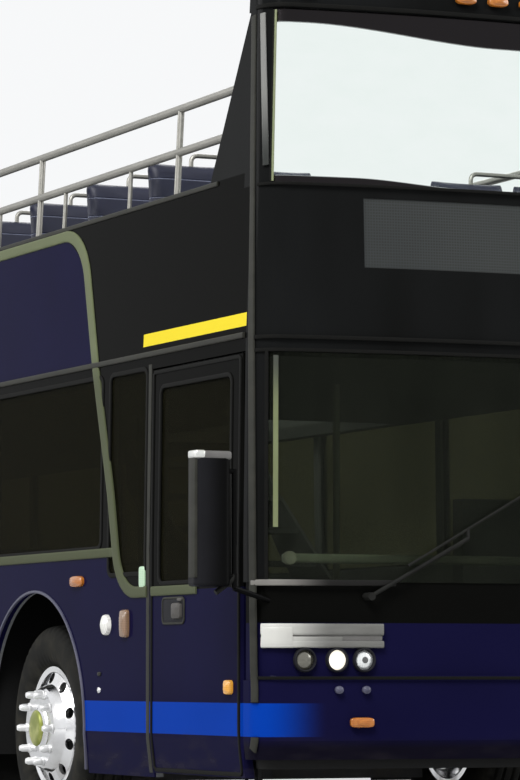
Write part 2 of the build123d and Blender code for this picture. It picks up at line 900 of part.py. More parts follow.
back_lean = 70
with BuildPart() as backs:
    for side, y, floor in seat_places(seat_rows):
        with BuildSketch(Plane.YZ.offset(side * seat_centre_x - seat_width / 2)) as back_profile:
            with BuildLine():
                foot = y + seat_depth + seat_gap
                Polyline(
                    (foot, floor + cushion_z - cushion_thick),
                    (foot + back_thick, floor + cushion_z - cushion_thick),
                    (foot + back_thick + back_lean, floor + cushion_z + back_height),
                    (foot + back_lean, floor + cushion_z + back_height),
                    close=True,
                )
            make_face()
        extrude(back_profile.sketch, amount=seat_width)
save("seat_backs", backs)

leg_width = 260
with BuildPart() as legs:
    for side, y, floor in seat_places(seat_rows):
        add(
            block(
                (side * seat_centre_x - leg_width / 2, side * seat_centre_x + leg_width / 2),
                (y + 60, y + seat_depth + back_thick),
                (floor, floor + cushion_z - cushion_thick),
            )
        )
save("seat_legs", legs)

# Driver's place: pedestal seat, dashboard and steering wheel
driver_x = 700
driver_y = front_joint_y + 850
driver_floor_z = floor_z + floor_thick
with BuildPart() as driver_seat:
    add(
        block(
            (driver_x - 130, driver_x + 130),
            (driver_y + 80, driver_y + 360),
            (driver_floor_z, driver_floor_z + 380),
        )
    )
    add(
        block(
            (driver_x - 250, driver_x + 250),
            (driver_y, driver_y + 470),
            (driver_floor_z + 380, driver_floor_z + 490),
        )
    )
    add(
        block(
            (driver_x - 240, driver_x + 240),
            (driver_y + 470, driver_y + 570),
            (driver_floor_z + 380, driver_floor_z + 1180),
        )
    )
save("driver_seat", driver_seat)

dash_rear_y = nose_y + 750
dash_inner_x = 150
ledge_rear_y = nose_y + 230
column_tilt = 25
column_foot = (driver_x, dash_rear_y - 40, sill_z - 60)
column_dir = (0, sin(radians(column_tilt)), cos(radians(column_tilt)))
column_plane = Plane(origin=column_foot, x_dir=(1, 0, 0), z_dir=column_dir)
shroud_top = 40
with BuildPart() as dashboard:
    with BuildSketch(Plane.YZ.offset(-half_width)) as ledge_profile:
        with BuildLine():
            Polyline(
                (nose_y, floor_top_z),
                (ledge_rear_y, floor_top_z),
                (ledge_rear_y, sill_z - 60),
                (ledge_rear_y - 30, sill_z - 10),
                (nose_y, sill_z - 10),
                close=True,
            )
        make_face()
    extrude(ledge_profile.sketch, amount=half_width + dash_inner_x)
    with BuildSketch(Plane.YZ.offset(dash_inner_x)) as dash_profile:
        with BuildLine():
            Polyline(
                (nose_y, floor_top_z),
                (dash_rear_y - 160, floor_top_z),
                (dash_rear_y, sill_z - 120),
                (dash_rear_y - 60, sill_z - 20),
                (nose_y, sill_z - 10),
                close=True,
            )
        make_face()
    extrude(dash_profile.sketch, amount=half_width)
    with BuildSketch(column_plane.offset(-40)) as shroud:
        Circle(34)
    extrude(shroud.sketch, amount=40 + shroud_top)
    dash_space = end_plate(front_end, floor_top_z, sill_z, wall + 30, dash_rear_y + 100)
    add(dash_space, mode=Mode.INTERSECT)
    add(door_recess, mode=Mode.SUBTRACT)
save("dashboard", dashboard)

wheel_rise = 190
rim_circle = 225
with BuildPart() as steering_wheel:
    rim_normal = (0, -cos(radians(column_tilt)), sin(radians(column_tilt)))
    with BuildSketch(Plane(column_foot, x_dir=(1, 0, 0), z_dir=rim_normal)) as rim_profile:
        with Locations((rim_circle, wheel_rise)):
            Circle(14)
    revolve(axis=Axis(column_foot, column_dir))
    with BuildSketch(column_plane.offset(wheel_rise - 12)) as spokes:
        Rectangle(2 * rim_circle - 10, 36)
        Circle(60)
    extrude(spokes.sketch, amount=22)
    with BuildSketch(column_plane.offset(shroud_top + 0.3)) as column:
        Circle(22)
    extrude(column.sketch, amount=wheel_rise - shroud_top - 1)
save("steering_wheel", steering_wheel)

# Frame rails that carry the engine and the rear axles
rail_inner_x = 430
rail_outer_x = 530
frame_low_z = 640
frame_high_z = 800
frame_front_y = bulkhead_y + wall
frame_rear_y = tail_y - 420
cross_half = 50
cross_ys = (frame_front_y + 60, (drive_axle_y + tag_axle_y) / 2, tag_axle_y + 560, frame_rear_y - 100)
stand_ys = (drive_axle_y - 500, tag_axle_y + 560, frame_rear_y - 100)
tow_thick = 30
tow_y = tail_y - 170
tow_z = 350
tow_boss_radius = 52
tow_bore_radius = 22
with BuildPart() as underframe:
    for side in (right, left):
        inner, outer = side * rail_inner_x, side * rail_outer_x
        add(block((inner, outer), (frame_front_y, frame_rear_y), (frame_low_z, frame_high_z)))
        for stand_y in stand_ys:
            add(block((inner, outer), (stand_y - 60, stand_y + 60), (frame_high_z, rear_floor_z)))
    for cross_y in cross_ys:
        add(
            block(
                (-rail_inner_x, rail_inner_x),
                (cross_y - cross_half, cross_y + cross_half),
                (frame_low_z + 20, frame_high_z - 20),
            )
        )
    with BuildSketch(Plane.YZ.offset(-tow_thick / 2)) as tow_plate:
        with BuildLine():
            Polyline(
                (cross_ys[-1] - cross_half, frame_low_z + 30),
                (cross_ys[-1] + cross_half, frame_low_z + 30),
                (tow_y + 50, tow_z + 30),
                (tow_y - 50, tow_z - 20),
                close=True,
            )
        make_face()
        with Locations((tow_y, tow_z)):
            Circle(tow_boss_radius)
            Circle(tow_bore_radius, mode=Mode.SUBTRACT)
    extrude(tow_plate.sketch, amount=tow_thick)
save("underframe", underframe)

# Engine, one plain block on feet against the frame rails
engine_width = 800
engine_length = 1150
engine_height = 620
engine_low_z = 490
engine_rear_y = frame_rear_y - 100 - cross_half - 20
foot_size = 80
with BuildPart() as engine:
    engine_front_y = engine_rear_y - engine_length
    add(
        block(
            (-engine_width / 2, engine_width / 2),
            (engine_front_y, engine_rear_y),
            (engine_low_z, engine_low_z + engine_height),
        )
    )
    for foot_y in (engine_front_y + 200, engine_rear_y - 200):
        add(
            block(
                (-rail_inner_x, rail_inner_x),
                (foot_y - foot_size / 2, foot_y + foot_size / 2),
                (frame_low_z + 30, frame_low_z + 30 + foot_size),
            )
        )
save("engine", engine)

# Front axle beam with an eye at each end
kingpin_x = 945
pin_radius = 20
eye_radius = 50
eye_low_z = 440
eye_high_z = 560
beam_low_z = 240
beam_high_z = 345
with BuildPart() as front_axle:
    add(
        block(
            (-800, 800),
            (front_axle_y - 45, front_axle_y + 45),
            (beam_low_z, beam_high_z),
        )
    )
    for side in (right, left):
        add(
            block(
                (side * 740, side * 800),
                (front_axle_y - 45, front_axle_y + 45),
                (beam_low_z, eye_high_z),
            )
        )
        add(
            block(
                (side * 740, side * kingpin_x),
                (front_axle_y - 35, front_axle_y + 35),
                (eye_low_z, eye_high_z),
            )
        )
        add(
            rod(
                (side * kingpin_x, front_axle_y, eye_low_z),
                (side * kingpin_x, front_axle_y, eye_high_z),
                eye_radius,
            )
        )
    for side in (right, left):
        add(
            rod(
                (side * kingpin_x, front_axle_y, eye_low_z - 5),
                (side * kingpin_x, front_axle_y, eye_high_z + 5),
                pin_radius + pin_fit,
            ),
            mode=Mode.SUBTRACT,
        )
    for side in (right, left):
        add(
            block(
                (side * 380, side * 480),
                (front_axle_y - 60, front_axle_y + 60),
                (beam_high_z, floor_z),
            )
        )
save("front_axle", front_axle)

# Steering knuckles: a fork on the kingpin, and the spindle that carries the wheel
spindle_radius = 40
spindle_in_x = 1010
spindle_out_x = 1190
for side, name in ((right, "knuckle_right"), (left, "knuckle_left")):
    with BuildPart() as knuckle:
        for arm_low, arm_high in ((eye_low_z - 45, eye_low_z - 5), (eye_high_z + 5, eye_high_z + 45)):
            add(
                rod(
                    (side * kingpin_x, front_axle_y, arm_low),
                    (side * kingpin_x, front_axle_y, arm_high),
                    eye_radius,
                )
            )
            add(
                block(
                    (side * kingpin_x, side * spindle_in_x),
                    (front_axle_y - eye_radius, front_axle_y + eye_radius),
                    (arm_low, arm_high),
                )
            )
        add(
            block(
                (side * (kingpin_x + eye_radius + 8), side * spindle_in_x),
                (front_axle_y - eye_radius, front_axle_y + eye_radius),
                (eye_low_z - 45, eye_high_z + 45),
            )
        )
        add(
            rod(
                (side * kingpin_x, front_axle_y, eye_low_z - 45),
                (side * kingpin_x, front_axle_y, eye_high_z + 45),
                pin_radius,
            )
        )
        add(
            rod(
                (side * spindle_in_x, front_axle_y, hub_z),
                (side * spindle_out_x, front_axle_y, hub_z),
                spindle_radius,
            )
        )
    save(name, knuckle)

# Rear axles: a tube with spindles, seats up to the frame rails, and the drive axle's casing
tube_radius = 75
twin_hub_in_x = wheel_x - twin_spacing - 130
twin_spindle_x = wheel_x + 10
hub_in_x = spindle_in_x + 15
running_gap = 10
for name, axle_y, hub_x, end_x, casing in (
    ("drive_axle", drive_axle_y, twin_hub_in_x, twin_spindle_x, 190),
    ("tag_axle", tag_axle_y, hub_in_x, spindle_out_x, 0),
):
    with BuildPart() as axle:
        tube_x = hub_x - running_gap
        add(rod((-tube_x, axle_y, hub_z), (tube_x, axle_y, hub_z), tube_radius))
        add(rod((-end_x, axle_y, hub_z), (end_x, axle_y, hub_z), spindle_radius))
        for side in (right, left):
            add(
                block(
                    (side * rail_inner_x, side * rail_outer_x),
                    (axle_y - 60, axle_y + 60),
                    (hub_z, frame_low_z),
                )
            )
        if casing:
            with BuildSketch(Plane.XZ.offset(-axle_y)) as casing_profile:
                with BuildLine():
                    Polyline((-260, hub_z), (260, hub_z), (260, hub_z + 60), (90, hub_z + casing))
                    Polyline((90, hub_z + casing), (-90, hub_z + casing), (-260, hub_z + 60), (-260, hub_z))
                make_face()
            revolve(casing_profile.sketch, axis=Axis((0, axle_y, hub_z), (1, 0, 0)))
            add(rod((0, axle_y - 320, hub_z), (0, axle_y, hub_z), 80))
    save(name, axle)

# Wheels
seat_radius = 299
barrel_radius = 286
inner_radius = 272
rim_half_width = 115
bead_half = 103
barrel_half = 99
tyre_radius = hub_z
hand_hole_radius = 27
hand_hole_circle = 242
hand_hole_count = 10


def revolved(side, centre_x, axle_y, points):
    """Ring turned about the axle from points of (offset towards the outside, radius)."""
    with BuildPart() as ring:
        with BuildSketch(Plane.XZ.offset(-axle_y)) as profile:
            with BuildLine():
                Polyline(*[(side * (centre_x + out), hub_z + r) for out, r in points], close=True)
            make_face()
        revolve(profile.sketch, axis=Axis((0, axle_y, hub_z), (1, 0, 0)))
    return ring.part


tyre_points = (
    (-bead_half, seat_radius),
    (-145, 385),
    (-138, 450),
    (-118, 488),
    (-60, tyre_radius),
    (60, tyre_radius),
    (118, 488),
    (138, 450),
    (145, 385),
    (bead_half, seat_radius),
    (barrel_half, barrel_radius),
    (-barrel_half, barrel_radius),
)


# Rim barrel, with its outer lip at positive offsets: offset from the tyre's middle, radius
barrel_points = (
    (-barrel_half, barrel_radius),
    (barrel_half, barrel_radius),
    (bead_half, seat_radius),
    (rim_half_width, seat_radius),
    (rim_half_width - 4, inner_radius),
    (-rim_half_width, inner_radius),
    (-rim_half_width, seat_radius),
    (-bead_half, seat_radius),
)
# Dished disc that bulges outwards, with the hub behind it
nut_face = 185
dish_points = (
    (70, inner_radius + 1),
    (104, inner_radius + 1),
    (112, 268),
    (134, 214),
    (nut_face - 14, 196),
    (nut_face, 186),
    (nut_face, 112),
    (nut_face + 6, 98),
    (nut_face + 20, 82),
    (nut_face + 25, 60),
    (nut_face + 25, 1),
    (spindle_out_x + 4 - wheel_x, 1),
    (spindle_out_x + 4 - wheel_x, spindle_radius + pin_fit),
    (hub_in_x - wheel_x, spindle_radius + pin_fit),
    (hub_in_x - wheel_x, 140),
    (60, 150),
    (nut_face - 40, 186),
    (118, 206),
    (96, 262),
)
# Pair of discs that meet between twin tyres, and the hub through them
twin_mid = -twin_spacing / 2
twin_points = (
    (-40, inner_radius + 1),
    (-60, 250),
    (twin_mid + 24, 200),
    (twin_mid + 18, 140),
    (20, 118),
    (40, 100),
    (60, 1),
    (twin_spindle_x + 4 - wheel_x, 1),
    (twin_spindle_x + 4 - wheel_x, spindle_radius + pin_fit),
    (twin_hub_in_x - wheel_x, spindle_radius + pin_fit),
    (twin_hub_in_x - wheel_x, 150),
    (twin_mid - 18, 160),
    (twin_mid - 24, 200),
    (-twin_spacing + 60, 250),
    (-twin_spacing + 40, inner_radius + 1),
    (-twin_spacing + 62, inner_radius + 1),
    (-twin_spacing + 80, 256),
    (twin_mid, 214),
    (-80, 256),
    (-62, inner_radius + 1),
)

# Wheels of each axle. Columns: name, side, axle y, twin
wheel_rows = []
for side, side_name in ((right, "right"), (left, "left")):
    wheel_rows.append((f"front_{side_name}", side, front_axle_y, False))
    wheel_rows.append((f"drive_{side_name}", side, drive_axle_y, True))
    wheel_rows.append((f"tag_{side_name}", side, tag_axle_y, False))

for name, side, axle_y, twin in wheel_rows:
    centres = (wheel_x, wheel_x - twin_spacing) if twin else (wheel_x,)
    with BuildPart() as tyre:
        for centre in centres:
            add(revolved(side, centre, axle_y, tyre_points))
    save(f"tyre_{name}", tyre)
    with BuildPart() as disc:
        for centre in centres:
            flip = -1 if centre != wheel_x else 1
            add(revolved(side, centre, axle_y, [(flip * out, r) for out, r in barrel_points]))
        add(revolved(side, wheel_x, axle_y, twin_points if twin else dish_points))
        if not twin:
            hole_plane = Plane((side * (wheel_x + 60), axle_y, hub_z), x_dir=(0, 1, 0), z_dir=(side, 0, 0))
            with BuildSketch(hole_plane) as holes:
                with PolarLocations(hand_hole_circle, hand_hole_count, start_angle=18):
                    Circle(hand_hole_radius)
            extrude(holes.sketch, amount=90, mode=Mode.SUBTRACT)
    save(f"wheel_{name}", disc)

# Mirrors: a housing on a bent arm at each front corner
mirror_centre_x = 1525
mirror_y = nose_y + 140
mirror_low_z = 1126
mirror_high_z = 1690
mirror_width = 165
mirror_depth = 80
arm_radius = 12
arm_x = mirror_centre_x - mirror_width / 2 - 28
arm_foot_z = 1060
with BuildPart() as mirrors:
    for side in (right, left):
        with BuildPart(mode=Mode.PRIVATE) as housing:
            add(
                block(
                    (
                        side * (mirror_centre_x - mirror_width / 2),
                        side * (mirror_centre_x + mirror_width / 2),
                    ),
                    (mirror_y - mirror_depth / 2, mirror_y + mirror_depth / 2),
                    (mirror_low_z, mirror_high_z),
                )
            )
            fillet(housing.edges().filter_by(Axis.Z).group_by(Axis.Y)[0], 30)
            fillet(housing.faces().sort_by(Axis.Y)[0].edges(), 14)
        add(housing.part)
        foot = (side * (half_width - 100), mirror_y + 50, arm_foot_z)
        knee = (side * arm_x, mirror_y, arm_foot_z + 60)
        head = (side * arm_x, mirror_y, mirror_high_z - 70)
        add(rod(foot, knee, arm_radius))
        add(rod(knee, head, arm_radius))
        for stub_z in (arm_foot_z + 110, mirror_high_z - 80):
            add(
                rod(
                    (side * arm_x, mirror_y, stub_z),
                    (side * mirror_centre_x, mirror_y, stub_z),
                    arm_radius - 2,
                )
            )
    add(end_plate(front_end, bumper_top_z, sill_z, 12, front_joint_y), mode=Mode.SUBTRACT)
save("mirrors", mirrors)

# Wipers: a pivot on the mask, an arm and a blade in front of the glass
wiper_pivot = (820, 1089)
wiper_tip = (370, 1340)
blade_half = 330
with BuildPart() as wipers:
    for side in (right, left):
        pivot_y = nose_at(wiper_pivot[0], wiper_pivot[1]) + 12
        tip_y = nose_at(wiper_tip[0], wiper_tip[1]) - 18
        pivot = (side * wiper_pivot[0], pivot_y - 30, wiper_pivot[1])
        tip = (side * wiper_tip[0], tip_y, wiper_tip[1])
        add(rod((pivot[0], pivot_y + 20, pivot[2]), (pivot[0], pivot_y - 44, pivot[2]), 17))
        add(rod(pivot, tip, 9))
        blade_dir = Vector(*tip) - Vector(*pivot)
        blade_dir = blade_dir.normalized() * blade_half
        add(
            rod(
                (tip[0] - blade_dir.X, tip_y + 5, tip[2] - blade_dir.Z + 40),
                (tip[0] + blade_dir.X, tip_y + 5, tip[2] + blade_dir.Z + 40),
                6,
            )
        )
        add(rod(tip, (tip[0], tip_y + 5, tip[2] + 42), 7))
    add(end_plate(front_end, bumper_top_z, sill_z, 12, front_joint_y), mode=Mode.SUBTRACT)
save("wipers", wipers)

# Tail lamps, a tall cluster near each rear corner
tail_lamp_thick = 12
with BuildPart() as tail_lamps:
    add(end_shell(rear_end, sill_z, deck_z, -tail_lamp_thick, tail_lamp_thick, rear_joint_y))
    with BuildPart(mode=Mode.PRIVATE) as lamp_places:
        for side in (right, left):
            add(block((side * 1020, side * 1120), (tail_y - 400, tail_y + 100), (sill_z + 60, sill_z + 560)))
    add(lamp_places.part, mode=Mode.INTERSECT)
save("tail_lamps", tail_lamps)
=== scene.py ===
"""Looks of an open top double decker coach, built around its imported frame, in metres.

The coach faces -Y, its door side is at -X and +Z is up. Sizes and colours are properties,
each group of pieces has its own operator, and main() calls them in order.
"""

from math import atan, cos, pi, radians, sin, sqrt

import bmesh
import bpy
import numpy as np
from bpy.props import FloatProperty, FloatVectorProperty, IntProperty, PointerProperty
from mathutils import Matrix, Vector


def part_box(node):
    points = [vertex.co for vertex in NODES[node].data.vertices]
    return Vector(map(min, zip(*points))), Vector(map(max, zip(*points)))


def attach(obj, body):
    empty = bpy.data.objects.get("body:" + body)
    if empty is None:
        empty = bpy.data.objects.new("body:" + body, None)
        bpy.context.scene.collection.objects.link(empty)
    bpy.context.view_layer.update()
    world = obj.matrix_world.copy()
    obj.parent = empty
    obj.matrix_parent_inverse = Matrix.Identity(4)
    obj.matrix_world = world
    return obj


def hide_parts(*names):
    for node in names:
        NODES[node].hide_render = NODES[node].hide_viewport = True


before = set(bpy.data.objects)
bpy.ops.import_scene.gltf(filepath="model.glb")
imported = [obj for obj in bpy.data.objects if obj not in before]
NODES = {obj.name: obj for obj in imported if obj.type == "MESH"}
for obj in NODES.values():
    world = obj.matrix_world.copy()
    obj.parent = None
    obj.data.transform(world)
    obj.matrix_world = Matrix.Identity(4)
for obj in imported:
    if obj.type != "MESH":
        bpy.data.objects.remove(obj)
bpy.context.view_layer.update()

bl_info = {
    "name": "Open Top Coach Finish",
    "version": (1, 0, 0),
    "blender": (4, 5, 0),
    "location": "View3D > Sidebar > Coach",
    "description": "Paint, trim, tyres, seats and lamps of an open top double decker coach",
    "category": "Object",
}

SIDES = (("right", -1), ("left", 1))

# The body's form: half width, and by height how far the sides, nose and tail are drawn in
HALF_WIDTH = 1.295
NOSE_Y = -6.55
TAIL_Y = 6.536
SECTION_ROWS = ((0.3, 0.022), (0.48, 0), (1.32, 0), (2.19, 0.011), (2.915, 0.043), (3.95, 0.095))
NOSE_ROWS = (
    (0.4, 0.04),
    (0.48, 0),
    (0.735, 0),
    (0.755, 0.008),
    (1.15, 0.018),
    (2.13, 0.04),
    (2.85, 0.065),
    (3.62, 0.117),
    (3.95, 0.15),
)
TAIL_ROWS = ((0.4, 0.04), (0.48, 0), (1.15, 0), (2.19, 0.04), (2.915, 0.09))
BOW_RADIUS = 6.5
CORNER_RADIUS = 0.13
FRONT_JOINT_Y = -6.24
REAR_JOINT_Y = 6.186

# Places shared with the body
LOWER_FLOOR_Z = 0.42
UPPER_FLOOR_Z = 2.175
SILL_Z = 1.15
WAIST_Z = 1.345
GLASS_TOP_Z = 2.145
DECK_Z = 2.19
FRONT_DECK_Z = 2.13
BELT_Z = 2.915
SCREEN_Z = 2.85
SCREEN_TOP_Z = 3.62
POST_WIDTH = 0.04
DOOR_FRONT_Y = -6.215
DOOR_REAR_Y = -5.23
DOOR_TOP_Z = 2.13
HUB_Z = 0.5
AXLE_YS = {"front": -3.79, "drive": 2.26, "tag": 3.66}
ARCH_RADIUS = 0.66
REAR_ARCH_RADIUS = 0.64
WHEEL_X = 1.08
TWIN_SPACING = 0.33
PANE_FRONT_Y = -4.64
PANE_PITCH = 1.5
PANE_COUNT = 6
MULLION = 0.06
GRILLE_Z = (0.64, 1.04)
RADIATOR_Y = (4.7715, 5.7145)
LID_GRILLE_HALF = 0.6
DOOR_Z = 0.32
MIRROR_X = 1.525
MIRROR_Y = -6.41

# Line of the pale trim between the navy and the black paint: a point, its lean, the bend
# that adds to the lean above a height, and its ends' heights
SWOOP_Y = -4.797
SWOOP_Z = 1.427
SWOOP_LEAN = 0.258
SWOOP_BEND_Z = 1.6
SWOOP_BEND = 0.088
SWOOP_TOP_Z = 2.868
SWOOP_BASE_Z = 1.132
SWOOP_TOP_RADIUS = 0.34
SWOOP_BASE_RADIUS = 0.24

# The upper windscreen's clear part: height of its edge at the middle, its rise towards the
# sides, and the half widths between which it rises
CLEAR_FOOT = (2.857, 0.03, 0.3, 0.85)
CLEAR_HEAD = (3.494, 0.066, 0.15, 1.05)

# The photograph's frame and the camera that took it
PHOTO_HEIGHT_PX = 780
FOCAL_PX = 3600
HORIZON_PX = 675
SENSOR_MM = 36
CAMERA_PLACE = (-7.642, -20.177, 0.757)
CAMERA_YAW = radians(-24.75)


def rgb(red, green, blue):
    """Linear colour from display values of 0 to 255: the display curve's power of 2.2."""
    return tuple((c / 255) ** 2.2 for c in (red, green, blue))


def row_value(rows, z):
    """Values at heights z of rows of (height, value), straight between the rows."""
    heights, values = np.array(rows, float).T
    return np.interp(z, heights, values)


def half_at(z):
    """Outer half width of the body at heights z."""
    return HALF_WIDTH - row_value(SECTION_ROWS, z)


def side_points(side, y, z):
    """Points of a side wall: x is side * half width at z."""
    y, z = np.broadcast_arrays(np.asarray(y, float), np.asarray(z, float))
    return np.stack([side * half_at(z), y, z], -1)


def bow_s(x):
    """Distance along the bow from the middle to the width x: radius * arcsine(x / radius)."""
    return BOW_RADIUS * np.arcsin(np.asarray(x, float) / BOW_RADIUS)


def end_points(end, s, z, lift=0.0):
    """Points and outward normals round the nose (end -1) or the tail (end 1).

    s runs along the plan outline from the middle. It is an arc of the bow radius up to the
    corner's tangent point, then the corner's arc, then the straight side. The tip stands
    back by the row value at z.
    """
    s, z = np.broadcast_arrays(np.asarray(s, float), np.asarray(z, float))
    bow, corner, half = BOW_RADIUS + lift, CORNER_RADIUS + lift, half_at(z) + lift
    centre = half - corner
    depth = bow - np.sqrt((bow - corner) ** 2 - centre**2)
    turn = np.arcsin(centre / (bow - corner))
    on_bow, on_corner = bow * turn, bow * turn + corner * (pi / 2 - turn)
    away = np.abs(s)
    angle = np.where(away < on_bow, away / bow, np.minimum(turn + (away - on_bow) / corner, pi / 2))
    x = np.where(away < on_bow, bow * np.sin(angle), centre + corner * np.sin(angle))
    back = np.where(away < on_bow, bow * (1 - np.cos(angle)), depth - corner * np.cos(angle))
    back = back + np.maximum(away - on_corner, 0)
    rows, reach = (NOSE_ROWS, -NOSE_Y) if end < 0 else (TAIL_ROWS, TAIL_Y)
    y = end * (reach - row_value(rows, z) + lift - back)
    sign = np.where(s < 0, -1.0, 1.0)
    normals = np.stack([sign * np.sin(angle), end * np.cos(angle), 0 * s], -1)
    return np.stack([sign * x, y, z], -1), normals


def post_s(z):
    """Distance along the outline of the corner posts' inner edges at heights z.

    The edge stands the post's width inside the half width, on the corner's arc, at the
    angle whose sine is its reach past the corner's centre over the corner's radius.
    """
    half = half_at(z)
    centre = half - CORNER_RADIUS
    turn = np.arcsin(centre / (BOW_RADIUS - CORNER_RADIUS))
    angle = np.arcsin((half - POST_WIDTH - centre) / CORNER_RADIUS)
    return BOW_RADIUS * turn + CORNER_RADIUS * (angle - turn)


def unit(vectors):
    """Vectors divided by their lengths."""
    return vectors / np.maximum(np.linalg.norm(vectors, axis=-1, keepdims=True), 1e-12)


def grid_faces(rows, columns, wrap_rows=False, wrap_columns=False):
    """Four-cornered faces between neighbouring points of a grid.

    A wrapped grid also has faces between its last row or column and its first.
    """
    r, c = np.meshgrid(
        np.arange(rows if wrap_rows else rows - 1),
        np.arange(columns if wrap_columns else columns - 1),
        indexing="ij",
    )
    r, c = r.ravel(), c.ravel()
    next_r, next_c = (r + 1) % rows, (c + 1) % columns
    corners = [r * columns + c, r * columns + next_c, next_r * columns + next_c, next_r * columns + c]
    return np.stack(corners, -1).tolist()


def sweep(path, normals, profile, closed=False, spread=1.0):
    """A closed profile of (across, out) points carried along a path.

    Each ring is path + spread * across * side + out * normal, where side is the normal
    crossed with the path's direction. Open paths get a face over each end.
    """
    path = np.asarray(path, float)
    normals = np.broadcast_to(np.asarray(normals, float), path.shape)
    if closed:
        ahead = np.roll(path, -1, 0) - np.roll(path, 1, 0)
    else:
        ahead = np.gradient(path, axis=0)
    tangent = unit(ahead)
    across = unit(np.cross(normals, tangent))
    outward = np.cross(tangent, across)
    profile = np.asarray(profile, float)
    spread = np.broadcast_to(spread, len(path))[:, None, None]
    rings = (
        path[:, None]
        + spread * profile[None, :, :1] * across[:, None]
        + profile[None, :, 1:2] * outward[:, None]
    )
    count = len(profile)
    faces = grid_faces(len(path), count, closed, True)
    if not closed:
        last = (len(path) - 1) * count
        faces += [list(range(count)), list(range(last, last + count))]
    return rings.reshape(-1, 3), faces


def bead(width, height):
    """Rounded bead profile: half an ellipse, its sine raised to a power, over a flat foot."""
    sink, power = 0.002, 0.5
    angle = np.linspace(0, pi, 14)
    across = width / 2 * np.sign(np.cos(angle)) * np.abs(np.cos(angle)) ** power
    crown = np.stack([across, height * np.sin(angle) ** power], -1)
    foot = np.array([[-width / 2, -sink], [width / 2, -sink]])
    return np.concatenate([crown, foot])


def on_circle(angle):
    """Points of the unit circle at angles."""
    return np.stack([np.cos(angle), np.sin(angle)], -1)


def ring_profile(radius, steps=12):
    """Circle profile."""
    return radius * on_circle(np.linspace(0, 2 * pi, steps, endpoint=False))


def rounded_path(corners, radii, closed=False):
    """Straight runs between corner points of two coordinates, with an arc of its radius at each corner.

    Each arc starts at radius * tan(half the turn) before its corner and turns about the
    point on the corner's bisector.
    """
    step = 0.02
    corners = np.asarray(corners, float)
    pieces = []
    count = len(corners)
    for i, radius in zip(range(count), radii):
        here = corners[i]
        if not closed and i in (0, count - 1):
            pieces.append(here[None])
            continue
        back, ahead = unit(corners[i - 1] - here), unit(corners[(i + 1) % count] - here)
        half = np.arccos(np.clip(back @ ahead, -1, 1)) / 2
        centre = here + unit(back + ahead) * radius / sin(half)
        start, end = here + back * radius / np.tan(half), here + ahead * radius / np.tan(half)
        first, last = (np.arctan2(*(p - centre)[::-1]) for p in (start, end))
        turn = (last - first + pi) % (2 * pi) - pi
        angle = first + np.linspace(0, turn, max(4, int(abs(turn) * radius / step) + 3))
        pieces.append(centre + radius * on_circle(angle))
    points = np.concatenate(pieces)
    if closed:
        points = np.concatenate([points, points[:1]])
    lengths = np.linalg.norm(np.diff(points, axis=0), axis=1)
    keep = np.concatenate([[True], lengths > 1e-6])
    points = points[keep]
    distance = np.concatenate([[0], np.cumsum(np.linalg.norm(np.diff(points, axis=0), axis=1))])
    even = np.linspace(0, distance[-1], int(distance[-1] / (4 * step)) + 2)
    places = np.unique(np.concatenate([distance, even]).round(6))
    points = np.stack([np.interp(places, distance, points[:, i]) for i in (0, 1)], -1)
    return points[:-1] if closed else points


def turned(profile, centre, axis, steps):
    """Profile of (along, radius) points turned about an axis through centre.

    A ring point is centre + along * axis + radius * (cosine * one + sine * other), where one
    and other are square to the axis. Profile ends at radius 0 close the form.
    """
    axis = unit(np.asarray(axis, float))
    one = unit(np.cross(axis, (0.0, 0.0, 1.0) if abs(axis[2]) < 0.9 else (1.0, 0.0, 0.0)))
    other = np.cross(axis, one)
    along, radius = np.asarray(profile, float).T
    spokes = ring_profile(1.0, steps) @ np.stack([one, other])
    points = (
        np.asarray(centre, float)
        + along[None, :, None] * axis
        + radius[None, :, None] * spokes[:, None]
    )
    return points.reshape(-1, 3), grid_faces(steps, len(along), True, False)


def plate(centre, across, up, width, height, depth, power, crown=0.0):
    """Plate with a superellipse outline, a rounded rim and a crowned face.

    The outline is (width * cosine^(2/power), height * sine^(2/power)) / 2. Rings run from
    the back's middle over the rim to the face's middle, whose height adds the crown as
    1 - radius squared.
    """
    steps = 40
    across, up = unit(np.asarray(across, float)), unit(np.asarray(up, float))
    out = np.cross(across, up)
    circle = ring_profile(1.0, steps)
    outline = np.sign(circle) * np.abs(circle) ** (2 / power) * (width / 2, height / 2)
    rim = min(depth, width / 4, height / 4) * 0.5
    shrink = 1 - rim / (min(width, height) / 2)
    shoulder = (1 + shrink) / 2 + 0.2 * (1 - shrink)
    share = np.array([0.0, 1.0, 1.0, shoulder, shrink, 0.7 * shrink, 0.4 * shrink, 0.0])
    rise = np.array([-0.002, -0.002, depth - rim, depth - 0.3 * rim, depth, depth, depth, depth])
    rise[4:] += crown * (1 - (share[4:] / shrink) ** 2)
    points = (
        np.asarray(centre, float)
        + share[:, None, None] * outline[None, :, :1] * across
        + share[:, None, None] * outline[None, :, 1:] * up
        + rise[:, None, None] * out
    )
    return points.reshape(-1, 3), grid_faces(len(share), steps, False, True)


